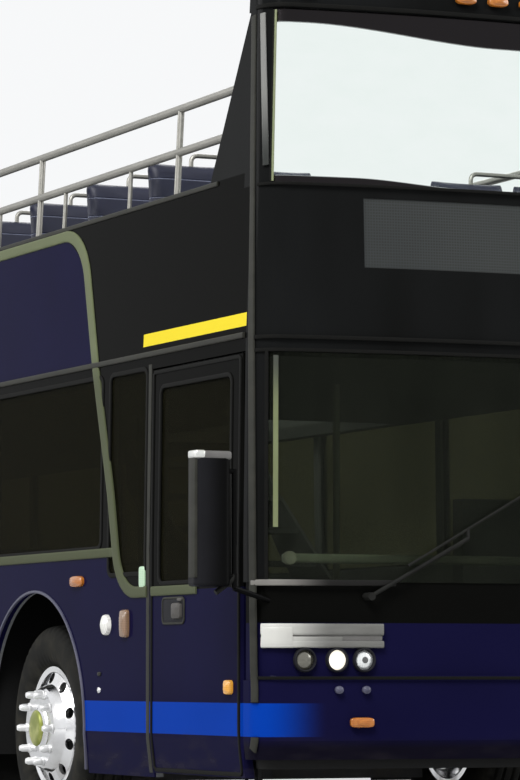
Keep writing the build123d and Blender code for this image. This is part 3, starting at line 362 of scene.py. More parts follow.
def slab(low, high, round_off, steps=5):
    """Box between two corners with rounded edges.

    A ball's grid of directions is pushed to the box: each point is the inner box's corner
    on its side plus round_off * direction.
    """
    low, high = np.asarray(low, float), np.asarray(high, float)
    middle, half = (low + high) / 2, (high - low) / 2
    round_off = min(round_off, half.min() * 0.98)
    polar = np.concatenate([np.linspace(0, pi / 2, steps), np.linspace(pi / 2, pi, steps)])
    quarter = np.linspace(0, pi / 2, steps)
    around = np.concatenate([quarter + i * pi / 2 for i in range(4)])
    sign_z = np.repeat([1, -1], steps)
    sign_x = np.repeat([1, -1, -1, 1], steps)
    sign_y = np.repeat([1, 1, -1, -1], steps)
    p, a = np.meshgrid(polar, around, indexing="ij")
    direction = np.stack([np.sin(p) * np.cos(a), np.sin(p) * np.sin(a), np.cos(p)], -1)
    signs = np.stack(np.broadcast_arrays(sign_x[None, :], sign_y[None, :], sign_z[:, None]), -1)
    points = middle + signs * (half - round_off) + round_off * direction
    count = len(around)
    faces = grid_faces(len(polar), count, False, True)
    faces += [list(range(count)), list(range(len(polar) * count - count, len(polar) * count))]
    return points.reshape(-1, 3), faces


def joined(forms):
    """Several forms as one list of points and faces."""
    points, faces, start = [], [], 0
    for form_points, form_faces in forms:
        points.append(form_points)
        faces += [[start + i for i in face] for face in form_faces]
        start += len(form_points)
    return np.concatenate(points), faces


def closed_mesh(name, form):
    """Mesh of a form, its doubles merged and its faces turned outwards."""
    points, faces = form
    mesh = bpy.data.meshes.new(name)
    mesh.from_pydata(points.tolist(), [], faces)
    cleaned = bmesh.new()
    cleaned.from_mesh(mesh)
    bmesh.ops.remove_doubles(cleaned, verts=cleaned.verts, dist=1e-6)
    bmesh.ops.dissolve_degenerate(cleaned, dist=1e-6, edges=cleaned.edges)
    bmesh.ops.recalc_face_normals(cleaned, faces=cleaned.faces)
    cleaned.to_mesh(mesh)
    cleaned.free()
    return mesh


def placed(name, data):
    """Object with that data, linked to the scene."""
    piece = bpy.data.objects.new(name, data)
    bpy.context.scene.collection.objects.link(piece)
    return piece


def make(name, forms, finish, body="coach", slot="trim_plastic", sharp=35.0):
    """Object from forms, closed, its faces outwards, riding on its body."""
    mesh = closed_mesh(name, joined(forms))
    mesh.shade_smooth()
    mesh.set_sharp_from_angle(angle=radians(sharp))
    mesh.materials.append(finish_of(finish))
    piece = placed(name, mesh)
    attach(piece, body)
    return piece


class Reading:
    """A value on a shader socket. Arithmetic on it adds Math nodes to its tree."""

    def __init__(self, nodes, socket):
        self.nodes = nodes
        self.socket = socket

    def __add__(self, other):
        return self.nodes.math("ADD", self, other)

    __radd__ = __add__

    def __sub__(self, other):
        return self.nodes.math("SUBTRACT", self, other)

    def __rsub__(self, other):
        return self.nodes.math("SUBTRACT", other, self)

    def __mul__(self, other):
        return self.nodes.math("MULTIPLY", self, other)

    __rmul__ = __mul__

    def __gt__(self, other):
        return self.nodes.math("GREATER_THAN", self, other)

    def __lt__(self, other):
        return self.nodes.math("LESS_THAN", self, other)

    def __abs__(self):
        return self.nodes.math("ABSOLUTE", self)


class Nodes:
    """The node tree of a material or a world, built from readings and nodes."""

    def __init__(self, owner, coordinate):
        owner.use_nodes = True
        self.owner = owner
        self.tree = owner.node_tree
        self.tree.nodes.clear()
        self.coordinates = self.node("ShaderNodeTexCoord", output=coordinate)

    def node(self, kind, settings=None, values=None, output=0):
        """Node of a type, with its settings first and then its inputs' values or links."""
        node = self.tree.nodes.new(kind)
        for key, value in (settings or {}).items():
            if key == "stops":
                elements = node.color_ramp.elements
                elements.remove(elements[1])
                elements[0].position, elements[0].color = value[0][0], (*value[0][1], 1)
                for place, colour in value[1:]:
                    elements.new(place).color = (*colour, 1)
            else:
                setattr(node, key, value)
        for key, value in (values or {}).items():
            socket = node.inputs[key]
            if isinstance(value, Reading):
                self.tree.links.new(value.socket, socket)
            elif socket.type == "RGBA" and len(value) == 3:
                socket.default_value = (*value, 1)
            else:
                socket.default_value = value
        return Reading(self, node.outputs[output]) if len(node.outputs) else None

    def math(self, operation, *values):
        """Math node from one to three values."""
        return self.node("ShaderNodeMath", {"operation": operation}, dict(enumerate(values)))

    def largest(self, first, second):
        """The larger of two values."""
        return self.math("MAXIMUM", first, second)

    def length(self, first, second):
        """Length of a vector of two parts."""
        return self.math("SQRT", first * first + second * second)

    def zigzag(self, value, step):
        """Value that runs from 0 to step and back, again and again."""
        return self.math("PINGPONG", value, step)

    def band(self, value, low, high):
        """1 where low < value < high."""
        return (value > low) * (value < high)

    def ramp(self, value, low, high):
        """0 below low, 1 above high, smooth between."""
        settings = {"interpolation_type": "SMOOTHSTEP"}
        return self.node("ShaderNodeMapRange", settings, {"Value": value, "From Min": low, "From Max": high})

    def mix(self, first, second, share):
        """Colour from first to second by share."""
        return self.node("ShaderNodeMix", {"data_type": "RGBA"}, {0: share, 6: first, 7: second}, output=2)

    def axes(self, vector=None):
        """The three parts of a vector, which is the place unless another is given."""
        split = self.node("ShaderNodeSeparateXYZ", None, {0: vector or self.coordinates})
        return tuple(Reading(self, socket) for socket in split.socket.node.outputs)

    def noise(self, scale, detail=3.0, stretch=(1, 1, 1)):
        """Noise over the place, stretched by axis."""
        values = {"Vector": self.coordinates, "Scale": stretch}
        place = self.node("ShaderNodeMapping", {"vector_type": "POINT"}, values)
        return self.node("ShaderNodeTexNoise", None, {"Vector": place, "Scale": scale, "Detail": detail})

    def cells(self, scale):
        """Distance to the nearest of scattered points."""
        values = {"Vector": self.coordinates, "Scale": scale}
        return self.node("ShaderNodeTexVoronoi", None, values, output="Distance")

    def bump(self, height, distance):
        """Normal from a height reading."""
        return self.node("ShaderNodeBump", None, {"Height": height, "Distance": distance, "Strength": 1.0})

    def surface(self, colour, roughness, **extra):
        """Principled surface out to the material. Extra inputs are named with underscores."""
        values = {"Base Color": colour, "Roughness": roughness}
        values.update({key.replace("_", " "): value for key, value in extra.items()})
        shader = self.node("ShaderNodeBsdfPrincipled", None, values)
        self.node("ShaderNodeOutputMaterial", None, {"Surface": shader})
        return self.owner


FINISHES = {}
FINISH_MAKERS = {}


def finish_of(name):
    """The finish of that name, made once."""
    if name not in FINISHES:
        nodes = Nodes(bpy.data.materials.new(name), "Object")
        FINISHES[name] = FINISH_MAKERS[name](nodes, bpy.context.scene.coach_colours)
    return FINISHES[name]


def finish_maker(maker):
    """Lists a maker of a finish under its own name."""
    FINISH_MAKERS[maker.__name__] = maker
    return maker


def shade(colour, share):
    """Colour with each part multiplied by share."""
    return tuple(part * share for part in colour)


def corner_zone(f, one, two, radius):
    """1 inside two edges with a rounded corner, from the distances inside each edge."""
    return f.length(f.largest(radius - one, 0.0), f.largest(radius - two, 0.0)) < radius


def swoop_distance(f, y, z):
    """Distance behind the raked trim line, square to it."""
    line = (z - SWOOP_Z) * SWOOP_LEAN + f.largest(z - SWOOP_BEND_Z, 0.0) * SWOOP_BEND + SWOOP_Y
    return (y - line) * (1 / sqrt(1 + SWOOP_LEAN**2))


def side_inset(f, z):
    """How far the side is drawn in at height z, in straight stretches."""
    upper = f.largest(z - 1.32, 0.0) * 0.0126
    return upper + f.largest(z - DECK_Z, 0.0) * 0.0315


@finish_maker
def paint(f, colours):
    """Gloss body paint: navy, black round the door and front, a stripe, seams and road film."""
    # Height between the trim line's upper and lower bends, top of the navy on the nose, start of
    # the tail's navy, rear end of the short bar and thickness of the painted wall
    middle_z = 1.9
    navy_nose_z = 0.977
    tail_y = 5.9
    bar_end_y = -5.11
    wall = 0.03
    # Flaps along the skirt: front, rear, length, foot and head. Hatch over the tail: middle,
    # half length, foot and head. Half width of the gaps round both
    flap_front_y, flap_rear_y, flap_length, flap_foot_z, flap_head_z = -3.1, 1.5, 1.138, 0.33, 1.29
    hatch_y, hatch_half, hatch_foot_z, hatch_head_z = 5.2, 0.62, 0.6, 1.3
    gap = 0.003
    x, y, z = f.axes()
    reach = abs(x)
    sizes = bpy.context.scene.coach_sizes
    behind = swoop_distance(f, y, z)
    navy_above = corner_zone(f, behind, SWOOP_TOP_Z - z, SWOOP_TOP_RADIUS)
    black_below = corner_zone(f, behind * -1.0, z - SWOOP_BASE_Z, SWOOP_BASE_RADIUS)
    high = z > middle_z
    black = high * (1.0 - navy_above) + (1.0 - high) * black_below
    pane_end = PANE_FRONT_Y + PANE_COUNT * PANE_PITCH
    windows = f.band(z, WAIST_Z - 0.02, DECK_Z + 0.004) * (y < pane_end)
    black = f.largest(black, windows)
    nose = y < FRONT_JOINT_Y
    black = black * (1.0 - nose) + nose * (z > navy_nose_z)
    tail = y > tail_y
    black = black * (1.0 - tail)
    grain = f.noise(2.2, 4.0)
    navy = f.mix(shade(colours.navy, 0.8), shade(colours.navy, 1.15), grain)
    low = nose * f.ramp(z, 0.5, 0.44) * 0.75
    colour = f.mix(f.mix(navy, (0.006, 0.005, 0.006), low), tuple(colours.black), black)
    fade = 1.0 - nose * (1.0 - f.ramp(reach, 1.0, 1.27))
    stripe = f.band(z, sizes.stripe_low, sizes.stripe_high) * fade
    blue = f.mix(tuple(colours.stripe), shade(colours.stripe, 1.25), f.noise(1.3, 2.0))
    colour = f.mix(colour, blue, stripe)
    bar = f.band(z, sizes.bar_low, sizes.bar_high) * f.band(y, FRONT_JOINT_Y, bar_end_y)
    colour = f.mix(colour, tuple(colours.bar), bar)
    inner = (reach < HALF_WIDTH - wall - side_inset(f, z)) * f.band(y, -6.2, 6.1)
    colour = f.mix(colour, (0.16, 0.165, 0.17), inner)
    grille = f.band(y, *RADIATOR_Y) * (x > 1.0) + (y > 6.2) * (reach < LID_GRILLE_HALF)
    grille = grille * f.band(z, *GRILLE_Z)
    colour = f.mix(colour, (0.006, 0.006, 0.007), grille)
    flaps = f.band(y, flap_front_y, flap_rear_y)
    seam = (f.zigzag(y - flap_rear_y + 0.002, flap_length / 2) < gap) * flaps
    seam = seam * f.band(z, flap_foot_z, flap_head_z)
    seam = f.largest(seam, (abs(z - flap_head_z) < gap) * flaps)
    hatch = abs(abs(y - hatch_y) - hatch_half) < gap
    seam = f.largest(seam, hatch * f.band(z, hatch_foot_z, hatch_head_z))
    seam = seam * (1.0 - inner)
    colour = f.mix(colour, (0.002, 0.002, 0.003), seam)
    film = f.ramp(z, 0.55, 0.3) * f.ramp(f.noise(5.0, 6.0, (1, 1, 3)), 0.42, 0.75)
    colour = f.mix(colour, (0.03, 0.026, 0.03), film * 0.5)
    rough = 0.1 + f.noise(9.0, 3.0) * 0.05 + film * 0.3 + inner * 0.3
    return f.surface(
        colour,
        rough + grille * 0.3,
        Specular_IOR_Level=0.008,
        Coat_Weight=(1.0 - film) * 0.01,
        Coat_Roughness=0.04,
        Normal=f.bump(1.0 - seam, 0.0008),
    )


@finish_maker
def gloss_black(f, colours):
    """Near-black gloss panel with a faint grey cloud of painted reflection, and fine dust."""
    # Painted reflection: stretched patches of bluish grey over the black stand in for light reflected in the
    # gloss.
    cloud = f.noise(1.6, 3.0, (1.5, 1, 0.4))
    grey = tuple(part * more for part, more in zip(colours.black, (3.4, 3.6, 4.2)))
    colour = f.mix(tuple(colours.black), grey, cloud)
    rough = 0.11 + f.noise(14.0, 5.0) * 0.07
    return f.surface(colour, rough, Specular_IOR_Level=0.02, Normal=f.bump(f.noise(45.0), 0.0001))


@finish_maker
def tinted_glass(f, colours):
    """Dark olive privacy glass with fine rain marks."""
    marks = f.noise(7.0, 5.0, (1, 1, 3))
    colour = f.mix((0.034, 0.033, 0.017), (0.074, 0.07, 0.04), marks)
    rough = 0.02 + f.ramp(marks, 0.6, 0.8) * 0.06
    return f.surface(colour, rough, Transmission_Weight=0.9, IOR=1.025)


@finish_maker
def clear_glass(f, colours):
    """Lightly green windscreen glass with black printed bands along its curved head and foot."""
    x, _, z = f.axes()
    marks = f.noise(5.0, 5.0, (1, 1, 2))
    colour = f.mix((0.86, 0.93, 0.89), (0.93, 0.97, 0.95), marks)
    printed = 0.0
    for edge, way in ((CLEAR_FOOT, -1.0), (CLEAR_HEAD, 1.0)):
        past = (z - (edge[0] + f.ramp(abs(x), edge[2], edge[3]) * edge[1])) * way
        printed = f.ramp(past, -0.003, 0.003) + printed
    colour = f.mix(colour, (0.02, 0.018, 0.019), printed)
    rough = 0.01 + f.ramp(marks, 0.6, 0.85) * 0.04 + printed * 0.15
    return f.surface(colour, rough, Metallic=printed, Transmission_Weight=1.0, IOR=1.1)


@finish_maker
def screen_glass(f, colours):
    """Lower windscreen, more tinted than the upper one."""
    marks = f.noise(3.0, 5.0, (2.5, 1, 0.6))
    colour = f.mix((0.14, 0.16, 0.12), (0.3, 0.33, 0.25), marks)
    rough = 0.015 + f.ramp(marks, 0.6, 0.85) * 0.03
    return f.surface(colour, rough, Transmission_Weight=0.98, IOR=1.1)


@finish_maker
def sign_face(f, colours):
    """Grey sign window over a blank display, whose dots are all unlit."""
    x, _, z = f.axes()
    pitch = 0.0125
    dots = (f.zigzag(x, pitch / 2) < pitch * 0.3) * (f.zigzag(z, pitch / 2) < pitch * 0.3)
    cloud = f.mix((0.026, 0.029, 0.03), (0.044, 0.048, 0.047), f.noise(2.0, 3.0))
    colour = f.mix(cloud, (0.02, 0.02, 0.017), dots * 0.6)
    return f.surface(colour, 0.12 + f.noise(8.0) * 0.06, Specular_IOR_Level=0.15)


@finish_maker
def satin_rail(f, colours):
    """Satin aluminium tube with long scratches and grey patina."""
    streaks = f.noise(30.0, 4.0, (1, 0.2, 1))
    colour = f.mix((0.2, 0.195, 0.175), (0.34, 0.33, 0.3), streaks)
    return f.surface(colour, 0.36 + f.noise(11.0) * 0.2, Metallic=0.8, Normal=f.bump(streaks, 0.0002))


@finish_maker
def polished_wheel(f, colours):
    """Polished forged aluminium with turning lines and brake dust."""
    dust = f.ramp(f.noise(6.0, 5.0), 0.45, 0.8)
    colour = f.mix((0.83, 0.83, 0.84), (0.3, 0.28, 0.26), dust * 0.5)
    return f.surface(colour, 0.12 + dust * 0.25, Metallic=1.0, Normal=f.bump(f.noise(80.0), 0.0001))


@finish_maker
def hub_cap(f, colours):
    """Hub cap in dull brass green, worn brighter in places."""
    wear = f.ramp(f.noise(14.0, 5.0), 0.4, 0.7)
    return f.surface(f.mix((0.2, 0.23, 0.03), (0.42, 0.43, 0.16), wear), 0.3 + wear * 0.15, Metallic=0.6)


@finish_maker
def tyre_rubber(f, colours):
    """Black rubber, greyer and dustier in patches."""
    dust = f.ramp(f.noise(9.0, 6.0), 0.4, 0.75)
    colour = f.mix((0.008, 0.008, 0.007), (0.045, 0.042, 0.034), dust * 0.6)
    rough = 0.72 + dust * 0.2
    return f.surface(colour, rough, Specular_IOR_Level=0.1, Normal=f.bump(f.noise(220.0, 3.0), 0.0004))


@finish_maker
def black_rubber(f, colours):
    """Window rubber with a fine grain."""
    grain = f.noise(120.0, 3.0)
    colour = f.mix((0.003, 0.003, 0.003), (0.009, 0.009, 0.008), grain)
    rough = 0.55 + grain * 0.15
    return f.surface(colour, rough, Specular_IOR_Level=0.05, Normal=f.bump(grain, 0.0002))


@finish_maker
def black_plastic(f, colours):
    """Moulded black plastic with leather grain."""
    cells = f.cells(260.0)
    colour = f.mix((0.008, 0.008, 0.01), (0.022, 0.022, 0.026), f.noise(6.0, 4.0))
    rough = 0.42 + cells * 0.2
    return f.surface(colour, rough, Specular_IOR_Level=0.06, Normal=f.bump(cells, 0.0003))


@finish_maker
def mirror_shell(f, colours):
    """Black moulded mirror housing, greyer towards its outer edge as a painted highlight, with a fine spark
    texture.
    """
    x, _, _ = f.axes()
    outer = f.ramp(abs(x), 1.47, 1.6)
    # Painted highlight: the black is greyed towards the outer edge, patchy by noise.
    colour = f.mix((0.001, 0.001, 0.001), (0.011, 0.011, 0.013), outer * (0.7 + f.noise(6.0, 4.0) * 0.5))
    return f.surface(colour, 0.4, Specular_IOR_Level=0.05, Normal=f.bump(f.noise(300.0, 2.0), 0.0002))


@finish_maker
def olive_trim(f, colours):
    """Olive grey trim moulding, satin, with faint weathering along it; painted shade darkens the waist run
    and the trim below the deck.
    """
    _, y, z = f.axes()
    age = f.noise(7.0, 5.0, (1, 0.3, 1))
    # Painted shade: the waist run and the trim below about 2.2 m are darkened to stand in for the weaker
    # light on them.
    waist = f.band(z, 1.29, 1.36) * (y > SWOOP_Y + 0.04)
    below = f.ramp(z, 2.3, 2.1) * (1.0 - waist)
    colour = f.mix(shade(colours.trim, 0.8), shade(colours.trim, 1.2), age)
    colour = f.mix(colour, (0.035, 0.04, 0.018), waist * 0.75)
    colour = f.mix(colour, shade(colours.trim, 0.3), below * 0.65)
    return f.surface(colour, 0.35 + age * 0.15, Specular_IOR_Level=0.06)


@finish_maker
def pale_corner(f, colours):
    """Grey strip inside the upper corners, palest at its head and fading towards its foot: the fade is
    painted shade.
    """
    _, _, z = f.axes()
    streaks = f.noise(8.0, 4.0, (1, 1, 0.3))
    pale = f.mix((0.13, 0.13, 0.125), (0.24, 0.24, 0.225), streaks)
    # Painted shade: below 3.3 m the strip darkens to near black at 2.95 m.
    return f.surface(f.mix((0.03, 0.032, 0.03), pale, f.ramp(z, 2.95, 3.3)), 0.4, Specular_IOR_Level=0.1)


@finish_maker
def bar_face(f, colours):
    """Bright moulding over the lamps, whitest at the corners and greyer towards the middle: the white at the
    corners is a painted highlight.
    """
    x, _, _ = f.axes()
    cloud = f.noise(9.0, 4.0, (1, 1, 4))
    # Painted highlight: the moulding is whitened towards the corners.
    share = f.ramp(abs(x), 0.98, 1.25)
    colour = f.mix((0.11, 0.108, 0.1), (0.6, 0.59, 0.55), share)
    colour = f.mix(colour, (0.4, 0.4, 0.38), cloud * 0.2)
    return f.surface(colour, 0.25 + cloud * 0.12, Specular_IOR_Level=0.2)


@finish_maker
def base_light(f, colours):
    """Moulding under the windscreen, bright at the corners and dark towards the middle: the brightness at
    the corners is a painted highlight.
    """
    x, _, _ = f.axes()
    # Painted highlight: the moulding is brightened towards the corners.
    share = f.ramp(abs(x), 0.98, 1.24)
    colour = f.mix((0.011, 0.0105, 0.01), (0.2, 0.19, 0.175), share * (0.8 + f.noise(20.0) * 0.3))
    return f.surface(colour, 0.3 + f.noise(12.0) * 0.1, Specular_IOR_Level=0.1)


@finish_maker
def edge_light(f, colours):
    """Pale green plastic channel along the glass edges, dimmer at the top of the lower one, where painted
    shade darkens it.
    """
    _, _, z = f.axes()
    age = f.noise(9.0, 4.0, (1, 1, 0.4))
    # Painted shade: the lower channel darkens from 1.85 m up to the front deck.
    dim = f.ramp(z, 1.85, 2.1) * (z < FRONT_DECK_Z)
    colour = f.mix((0.1, 0.12, 0.045), (0.17, 0.19, 0.09), age)
    return f.surface(f.mix(colour, (0.02, 0.025, 0.015), dim), 0.4 + age * 0.1)


@finish_maker
def floor_cover(f, colours):
    """Ribbed grey deck covering with grit flecks, and painted shade that makes its undersides near black."""
    rib = 0.011
    x, y, z = f.axes()
    ribs = f.zigzag(x, rib) * (1 / rib)
    flecks = f.ramp(f.noise(170.0, 1.0), 0.62, 0.7)
    cloud = f.mix((0.05, 0.052, 0.055), (0.08, 0.082, 0.085), f.noise(2.0, 4.0))
    colour = f.mix(cloud, (0.2, 0.2, 0.2), flecks * 0.6)
    # Underside of the floor, of the front wheel boxes and of the raised floor over the rear axles, which
    # painted shade makes near black
    box_inner_x, box_top_z, raised_front_y, raised_top_z = 0.565, 1.185, 1.56, 1.172
    axle = abs(y - AXLE_YS["front"]) < 0.7
    under = f.largest(z < LOWER_FLOOR_Z - 0.015, axle * (abs(x) > box_inner_x) * (z < box_top_z))
    under = f.largest(under, (y > raised_front_y) * (z < raised_top_z))
    # Painted shade: the undersides seen through the wheel arches are made near black, and lose their ribs.
    colour = f.mix(colour, (0.006, 0.006, 0.006), under)
    return f.surface(
        colour,
        0.7 + flecks * 0.1,
        Specular_IOR_Level=0.2,
        Normal=f.bump(f.ramp(ribs, 0.3, 0.6) * (1.0 - under), 0.0015),
    )


@finish_maker
def seat_vinyl(f, colours):
    """Blue weatherproof vinyl with sewn channels along the pad, from its own pad coordinates."""
    u, v, _ = f.axes(f.node("ShaderNodeUVMap", {"uv_map": "pad"}))
    channel = f.zigzag(v, 0.045)
    sewn = f.ramp(channel, 0.0, 0.006)
    stitch = (channel < 0.0025) * (f.zigzag(u, 0.003) < 0.0018)
    grain = f.cells(420.0)
    colour = f.mix(shade(colours.seat, 0.75), shade(colours.seat, 1.2), f.noise(4.0, 4.0))
    colour = f.mix(colour, (0.2, 0.22, 0.3), stitch)
    return f.surface(colour, 0.42 + grain * 0.2, Normal=f.bump(sewn + grain * 0.06, 0.003))


@finish_maker
def seat_shell(f, colours):
    """Moulded plastic of the seats' legs and shells, with a fine spark texture."""
    grain = f.noise(300.0, 2.0)
    colour = f.mix((0.04, 0.045, 0.06), (0.06, 0.065, 0.085), f.noise(3.0))
    return f.surface(colour, 0.48 + grain * 0.15, Normal=f.bump(grain, 0.0003))


@finish_maker
def frame_paint(f, colours):
    """Black chassis paint with road dirt below and thin rust in places."""
    dirt = f.ramp(f.noise(6.0, 6.0), 0.4, 0.75)
    rust = f.ramp(f.noise(18.0, 6.0), 0.62, 0.75)
    colour = f.mix(f.mix((0.015, 0.015, 0.016), (0.07, 0.062, 0.052), dirt), (0.14, 0.05, 0.02), rust * 0.5)
    return f.surface(colour, 0.5 + dirt * 0.35, Normal=f.bump(f.noise(90.0, 4.0), 0.0006))


@finish_maker
def cast_iron(f, colours):
    """Cast engine surface with oil stains."""
    oil = f.ramp(f.noise(5.0, 5.0), 0.5, 0.75)
    colour = f.mix((0.11, 0.11, 0.11), (0.025, 0.022, 0.02), oil)
    return f.surface(colour, 0.65 - oil * 0.25, Metallic=0.4, Normal=f.bump(f.noise(140.0, 4.0), 0.001))


@finish_maker
def lamp_glass(f, colours):
    """Fluted lamp lenses: the inner pair plated, the middle pair lit and the outer pair dull."""
    x, _, z = f.axes()
    reach = abs(x)
    flutes = f.zigzag(x, 0.006) * 90.0
    centre = f.length(reach - 0.84, z - 0.82)
    bowl = f.mix((0.75, 0.77, 0.78), (0.95, 0.95, 0.92), flutes)
    bowl = f.mix(bowl, (0.08, 0.08, 0.08), centre < 0.014)
    colour = f.mix(bowl, (0.12, 0.115, 0.09), reach > 1.03)
    lit = f.band(reach, 0.9, 1.02)
    colour = f.mix(colour, (1.0, 0.93, 0.8), lit)
    return f.surface(
        colour,
        0.1 + flutes * 0.05,
        Metallic=(1.0 - lit) * 0.5,
        Emission_Color=f.mix((0.0, 0.0, 0.0), (1.0, 0.93, 0.78), lit),
        Emission_Strength=0.9,
        Coat_Weight=1.0,
        Normal=f.bump(flutes, 0.0006),
    )


@finish_maker
def round_lens(f, colours):
    """Clear fluted side lamp."""
    _, y, _ = f.axes()
    flutes = f.zigzag(y, 0.006) * 90.0
    colour = f.mix((0.5, 0.49, 0.46), (0.85, 0.84, 0.8), flutes)
    return f.surface(colour, 0.15, Emission_Color=colour, Emission_Strength=0.25, Coat_Weight=0.5)


@finish_maker
def tail_clear(f, colours):
    """Clear lens of the reversing lamps, with upright flutes."""
    x, _, _ = f.axes()
    flutes = f.zigzag(x, 0.006) * 90.0
    return f.surface(f.mix((0.45, 0.45, 0.44), (0.8, 0.8, 0.78), flutes), 0.15, Coat_Weight=0.5)


def coloured_lens(low, high, glow):
    """Maker of a finish for a coloured lens with small prisms."""

    def lens(f, colours):
        _, y, z = f.axes()
        prisms = f.zigzag(y, 0.004) * 120.0 + f.zigzag(z, 0.004) * 120.0
        colour = f.mix(low, high, prisms * 0.6)
        return f.surface(
            colour,
            0.14 + f.noise(20.0) * 0.06,
            Emission_Color=colour,
            Emission_Strength=glow,
            Coat_Weight=0.25,
            Normal=f.bump(prisms, 0.0005),
        )

    return lens


def plain(low, high, noise, rough, rougher, extra):
    """Maker of a finish of two colours with noise between them, which also roughens it."""

    def surface(f, colours):
        cloud = f.noise(*noise)
        return f.surface(f.mix(low, high, cloud), rough + cloud * rougher, **extra)

    return surface


@finish_maker
def plate_face(f, colours):
    """Blank number plate: white sheet with soft dirt."""
    dirt = f.ramp(f.noise(14.0, 5.0), 0.5, 0.8)
    return f.surface(f.mix((0.7, 0.71, 0.7), (0.35, 0.33, 0.3), dirt * 0.5), 0.35 + dirt * 0.2)


@finish_maker
def dash_strip(f, colours):
    """Strip along the dashboard, pale at the door's end and dark towards the middle: the pale end is a
    painted reflection.
    """
    x, _, _ = f.axes()
    far = f.ramp(x, -0.98, -0.42)
    # Painted reflection: the strip is pale at the door's end.
    return f.surface(f.mix((0.78, 0.79, 0.8), (0.13, 0.13, 0.125), far), 0.3 + f.noise(12.0) * 0.15)


@finish_maker
def pale_floor(f, colours):
    """Pale studio floor, faintly clouded."""
    return f.surface(f.mix((0.55, 0.55, 0.54), (0.62, 0.62, 0.61), f.noise(0.6, 4.0)), 0.75)


@finish_maker
def painted_reflection_weave(f, colours):
    """Pale blue-grey woven sheet behind the windscreen: a painted reflection, standing in for sky reflected
    in the glass.
    """
    x, _, z = f.axes()
    weave = f.zigzag(x, 0.002) * 250.0 + f.zigzag(z, 0.002) * 250.0
    colour = f.mix((0.3, 0.31, 0.33), (0.4, 0.41, 0.43), f.noise(3.0, 3.0))
    return f.surface(colour, 0.85, Normal=f.bump(weave, 0.0005))


# Plain finishes: name, two colours, the noise between them, roughness, what the noise adds to
# it, and other inputs
PLAIN_FINISHES = (
    # Plated nut covers with a soft sheen
    ("bright_nut", (0.95, 0.95, 0.95), (0.7, 0.7, 0.7), (25.0, 4.0), 0.3, 0.1, {"Metallic": 0.55}),
    # Bright plated metal, faintly clouded
    ("chrome", (0.8, 0.8, 0.82), (0.62, 0.62, 0.64), (25.0, 4.0), 0.06, 0.08, {"Metallic": 1.0}),
    # Silvered glass
    ("mirror_face", (0.85, 0.87, 0.88), (0.75, 0.77, 0.78), (12.0, 4.0), 0.02, 0.02, {"Metallic": 1.0}),
    # Bright satin moulding
    (
        "pale_trim",
        (0.55, 0.55, 0.52),
        (0.78, 0.78, 0.75),
        (9.0, 4.0, (1, 1, 4)),
        0.22,
        0.12,
        {"Metallic": 0.7},
    ),
    # Dull metal of the door's handle
    (
        "grip_metal",
        (0.025, 0.024, 0.024),
        (0.085, 0.078, 0.07),
        (40.0, 4.0),
        0.45,
        0.0,
        {"Specular_IOR_Level": 0.2},
    ),
    # Dark anodised moulding with pale streaks along it
    (
        "grey_trim",
        (0.014, 0.014, 0.012),
        (0.04, 0.04, 0.033),
        (8.0, 4.0, (1, 0.3, 2)),
        0.35,
        0.15,
        {"Specular_IOR_Level": 0.06},
    ),
    # Wheel arch edge, a paler navy: a painted highlight along the paint's edge, patchy by noise
    ("lip_edge", (0.03, 0.03, 0.06), (0.1, 0.1, 0.14), (12.0, 5.0), 0.3, 0.2, {"Specular_IOR_Level": 0.25}),
    # Grey painted wiper arm
    (
        "wiper_metal",
        (0.006, 0.006, 0.006),
        (0.02, 0.02, 0.018),
        (30.0, 4.0, (1, 1, 0.4)),
        0.4,
        0.2,
        {"Specular_IOR_Level": 0.06},
    ),
    # Dull groove between the bar's mouldings
    (
        "bar_groove",
        (0.07, 0.066, 0.062),
        (0.13, 0.125, 0.12),
        (14.0, 4.0),
        0.45,
        0.1,
        {"Specular_IOR_Level": 0.5},
    ),
)

# Coloured lenses: name, two colours and how much each glows
LENSES = (
    ("amber_lens", (0.3, 0.08, 0.006), (0.52, 0.2, 0.03), 0.08),
    ("yellow_lens", (0.6, 0.25, 0.02), (0.85, 0.45, 0.08), 0.15),
    ("worn_amber", (0.14, 0.08, 0.045), (0.36, 0.21, 0.12), 0.04),
    ("red_lens", (0.35, 0.005, 0.005), (0.7, 0.02, 0.015), 0.15),
    # The pale plate beside the door is no lamp: its glow is painted light.
    ("green_lens", (0.3, 0.45, 0.3), (0.5, 0.68, 0.47), 0.2),
)

for plain_name, *plain_row in PLAIN_FINISHES:
    FINISH_MAKERS[plain_name] = plain(*plain_row)
for lens_name, *lens_row in LENSES:
    FINISH_MAKERS[lens_name] = coloured_lens(*lens_row)

# Finish of each carried-over node, by the start of its name
NODE_FINISHES = (
    ("side_glass", "tinted_glass"),
    ("door_glass", "tinted_glass"),
    ("windscreen_lower", "screen_glass"),
    ("windscreen_upper", "clear_glass"),
    ("sign_window", "sign_face"),
    ("front_deck_panel", "gloss_black"),
    ("front_posts", "gloss_black"),
    ("upper_front_frame", "gloss_black"),
    ("rail_", "satin_rail"),
    ("stair_guard", "satin_rail"),
    ("wheel_", "polished_wheel"),
    ("tyre_", "tyre_rubber"),
    ("floor_", "floor_cover"),
    ("stairs", "floor_cover"),
    ("seat_legs", "seat_shell"),
    ("seat_", "seat_vinyl"),
    ("driver_seat", "seat_shell"),
    ("dashboard", "black_plastic"),
    ("steering_wheel", "black_plastic"),
    ("mirrors", "mirror_shell"),
    ("wipers", "wiper_metal"),
    ("headlamps", "lamp_glass"),
    ("tail_lamps", "red_lens"),
    ("engine_lid", "paint"),
    ("engine", "cast_iron"),
    ("underframe", "frame_paint"),
    ("front_axle", "frame_paint"),
    ("drive_axle", "frame_paint"),
    ("tag_axle", "frame_paint"),
    ("knuckle_", "frame_paint"),
    ("", "paint"),
)


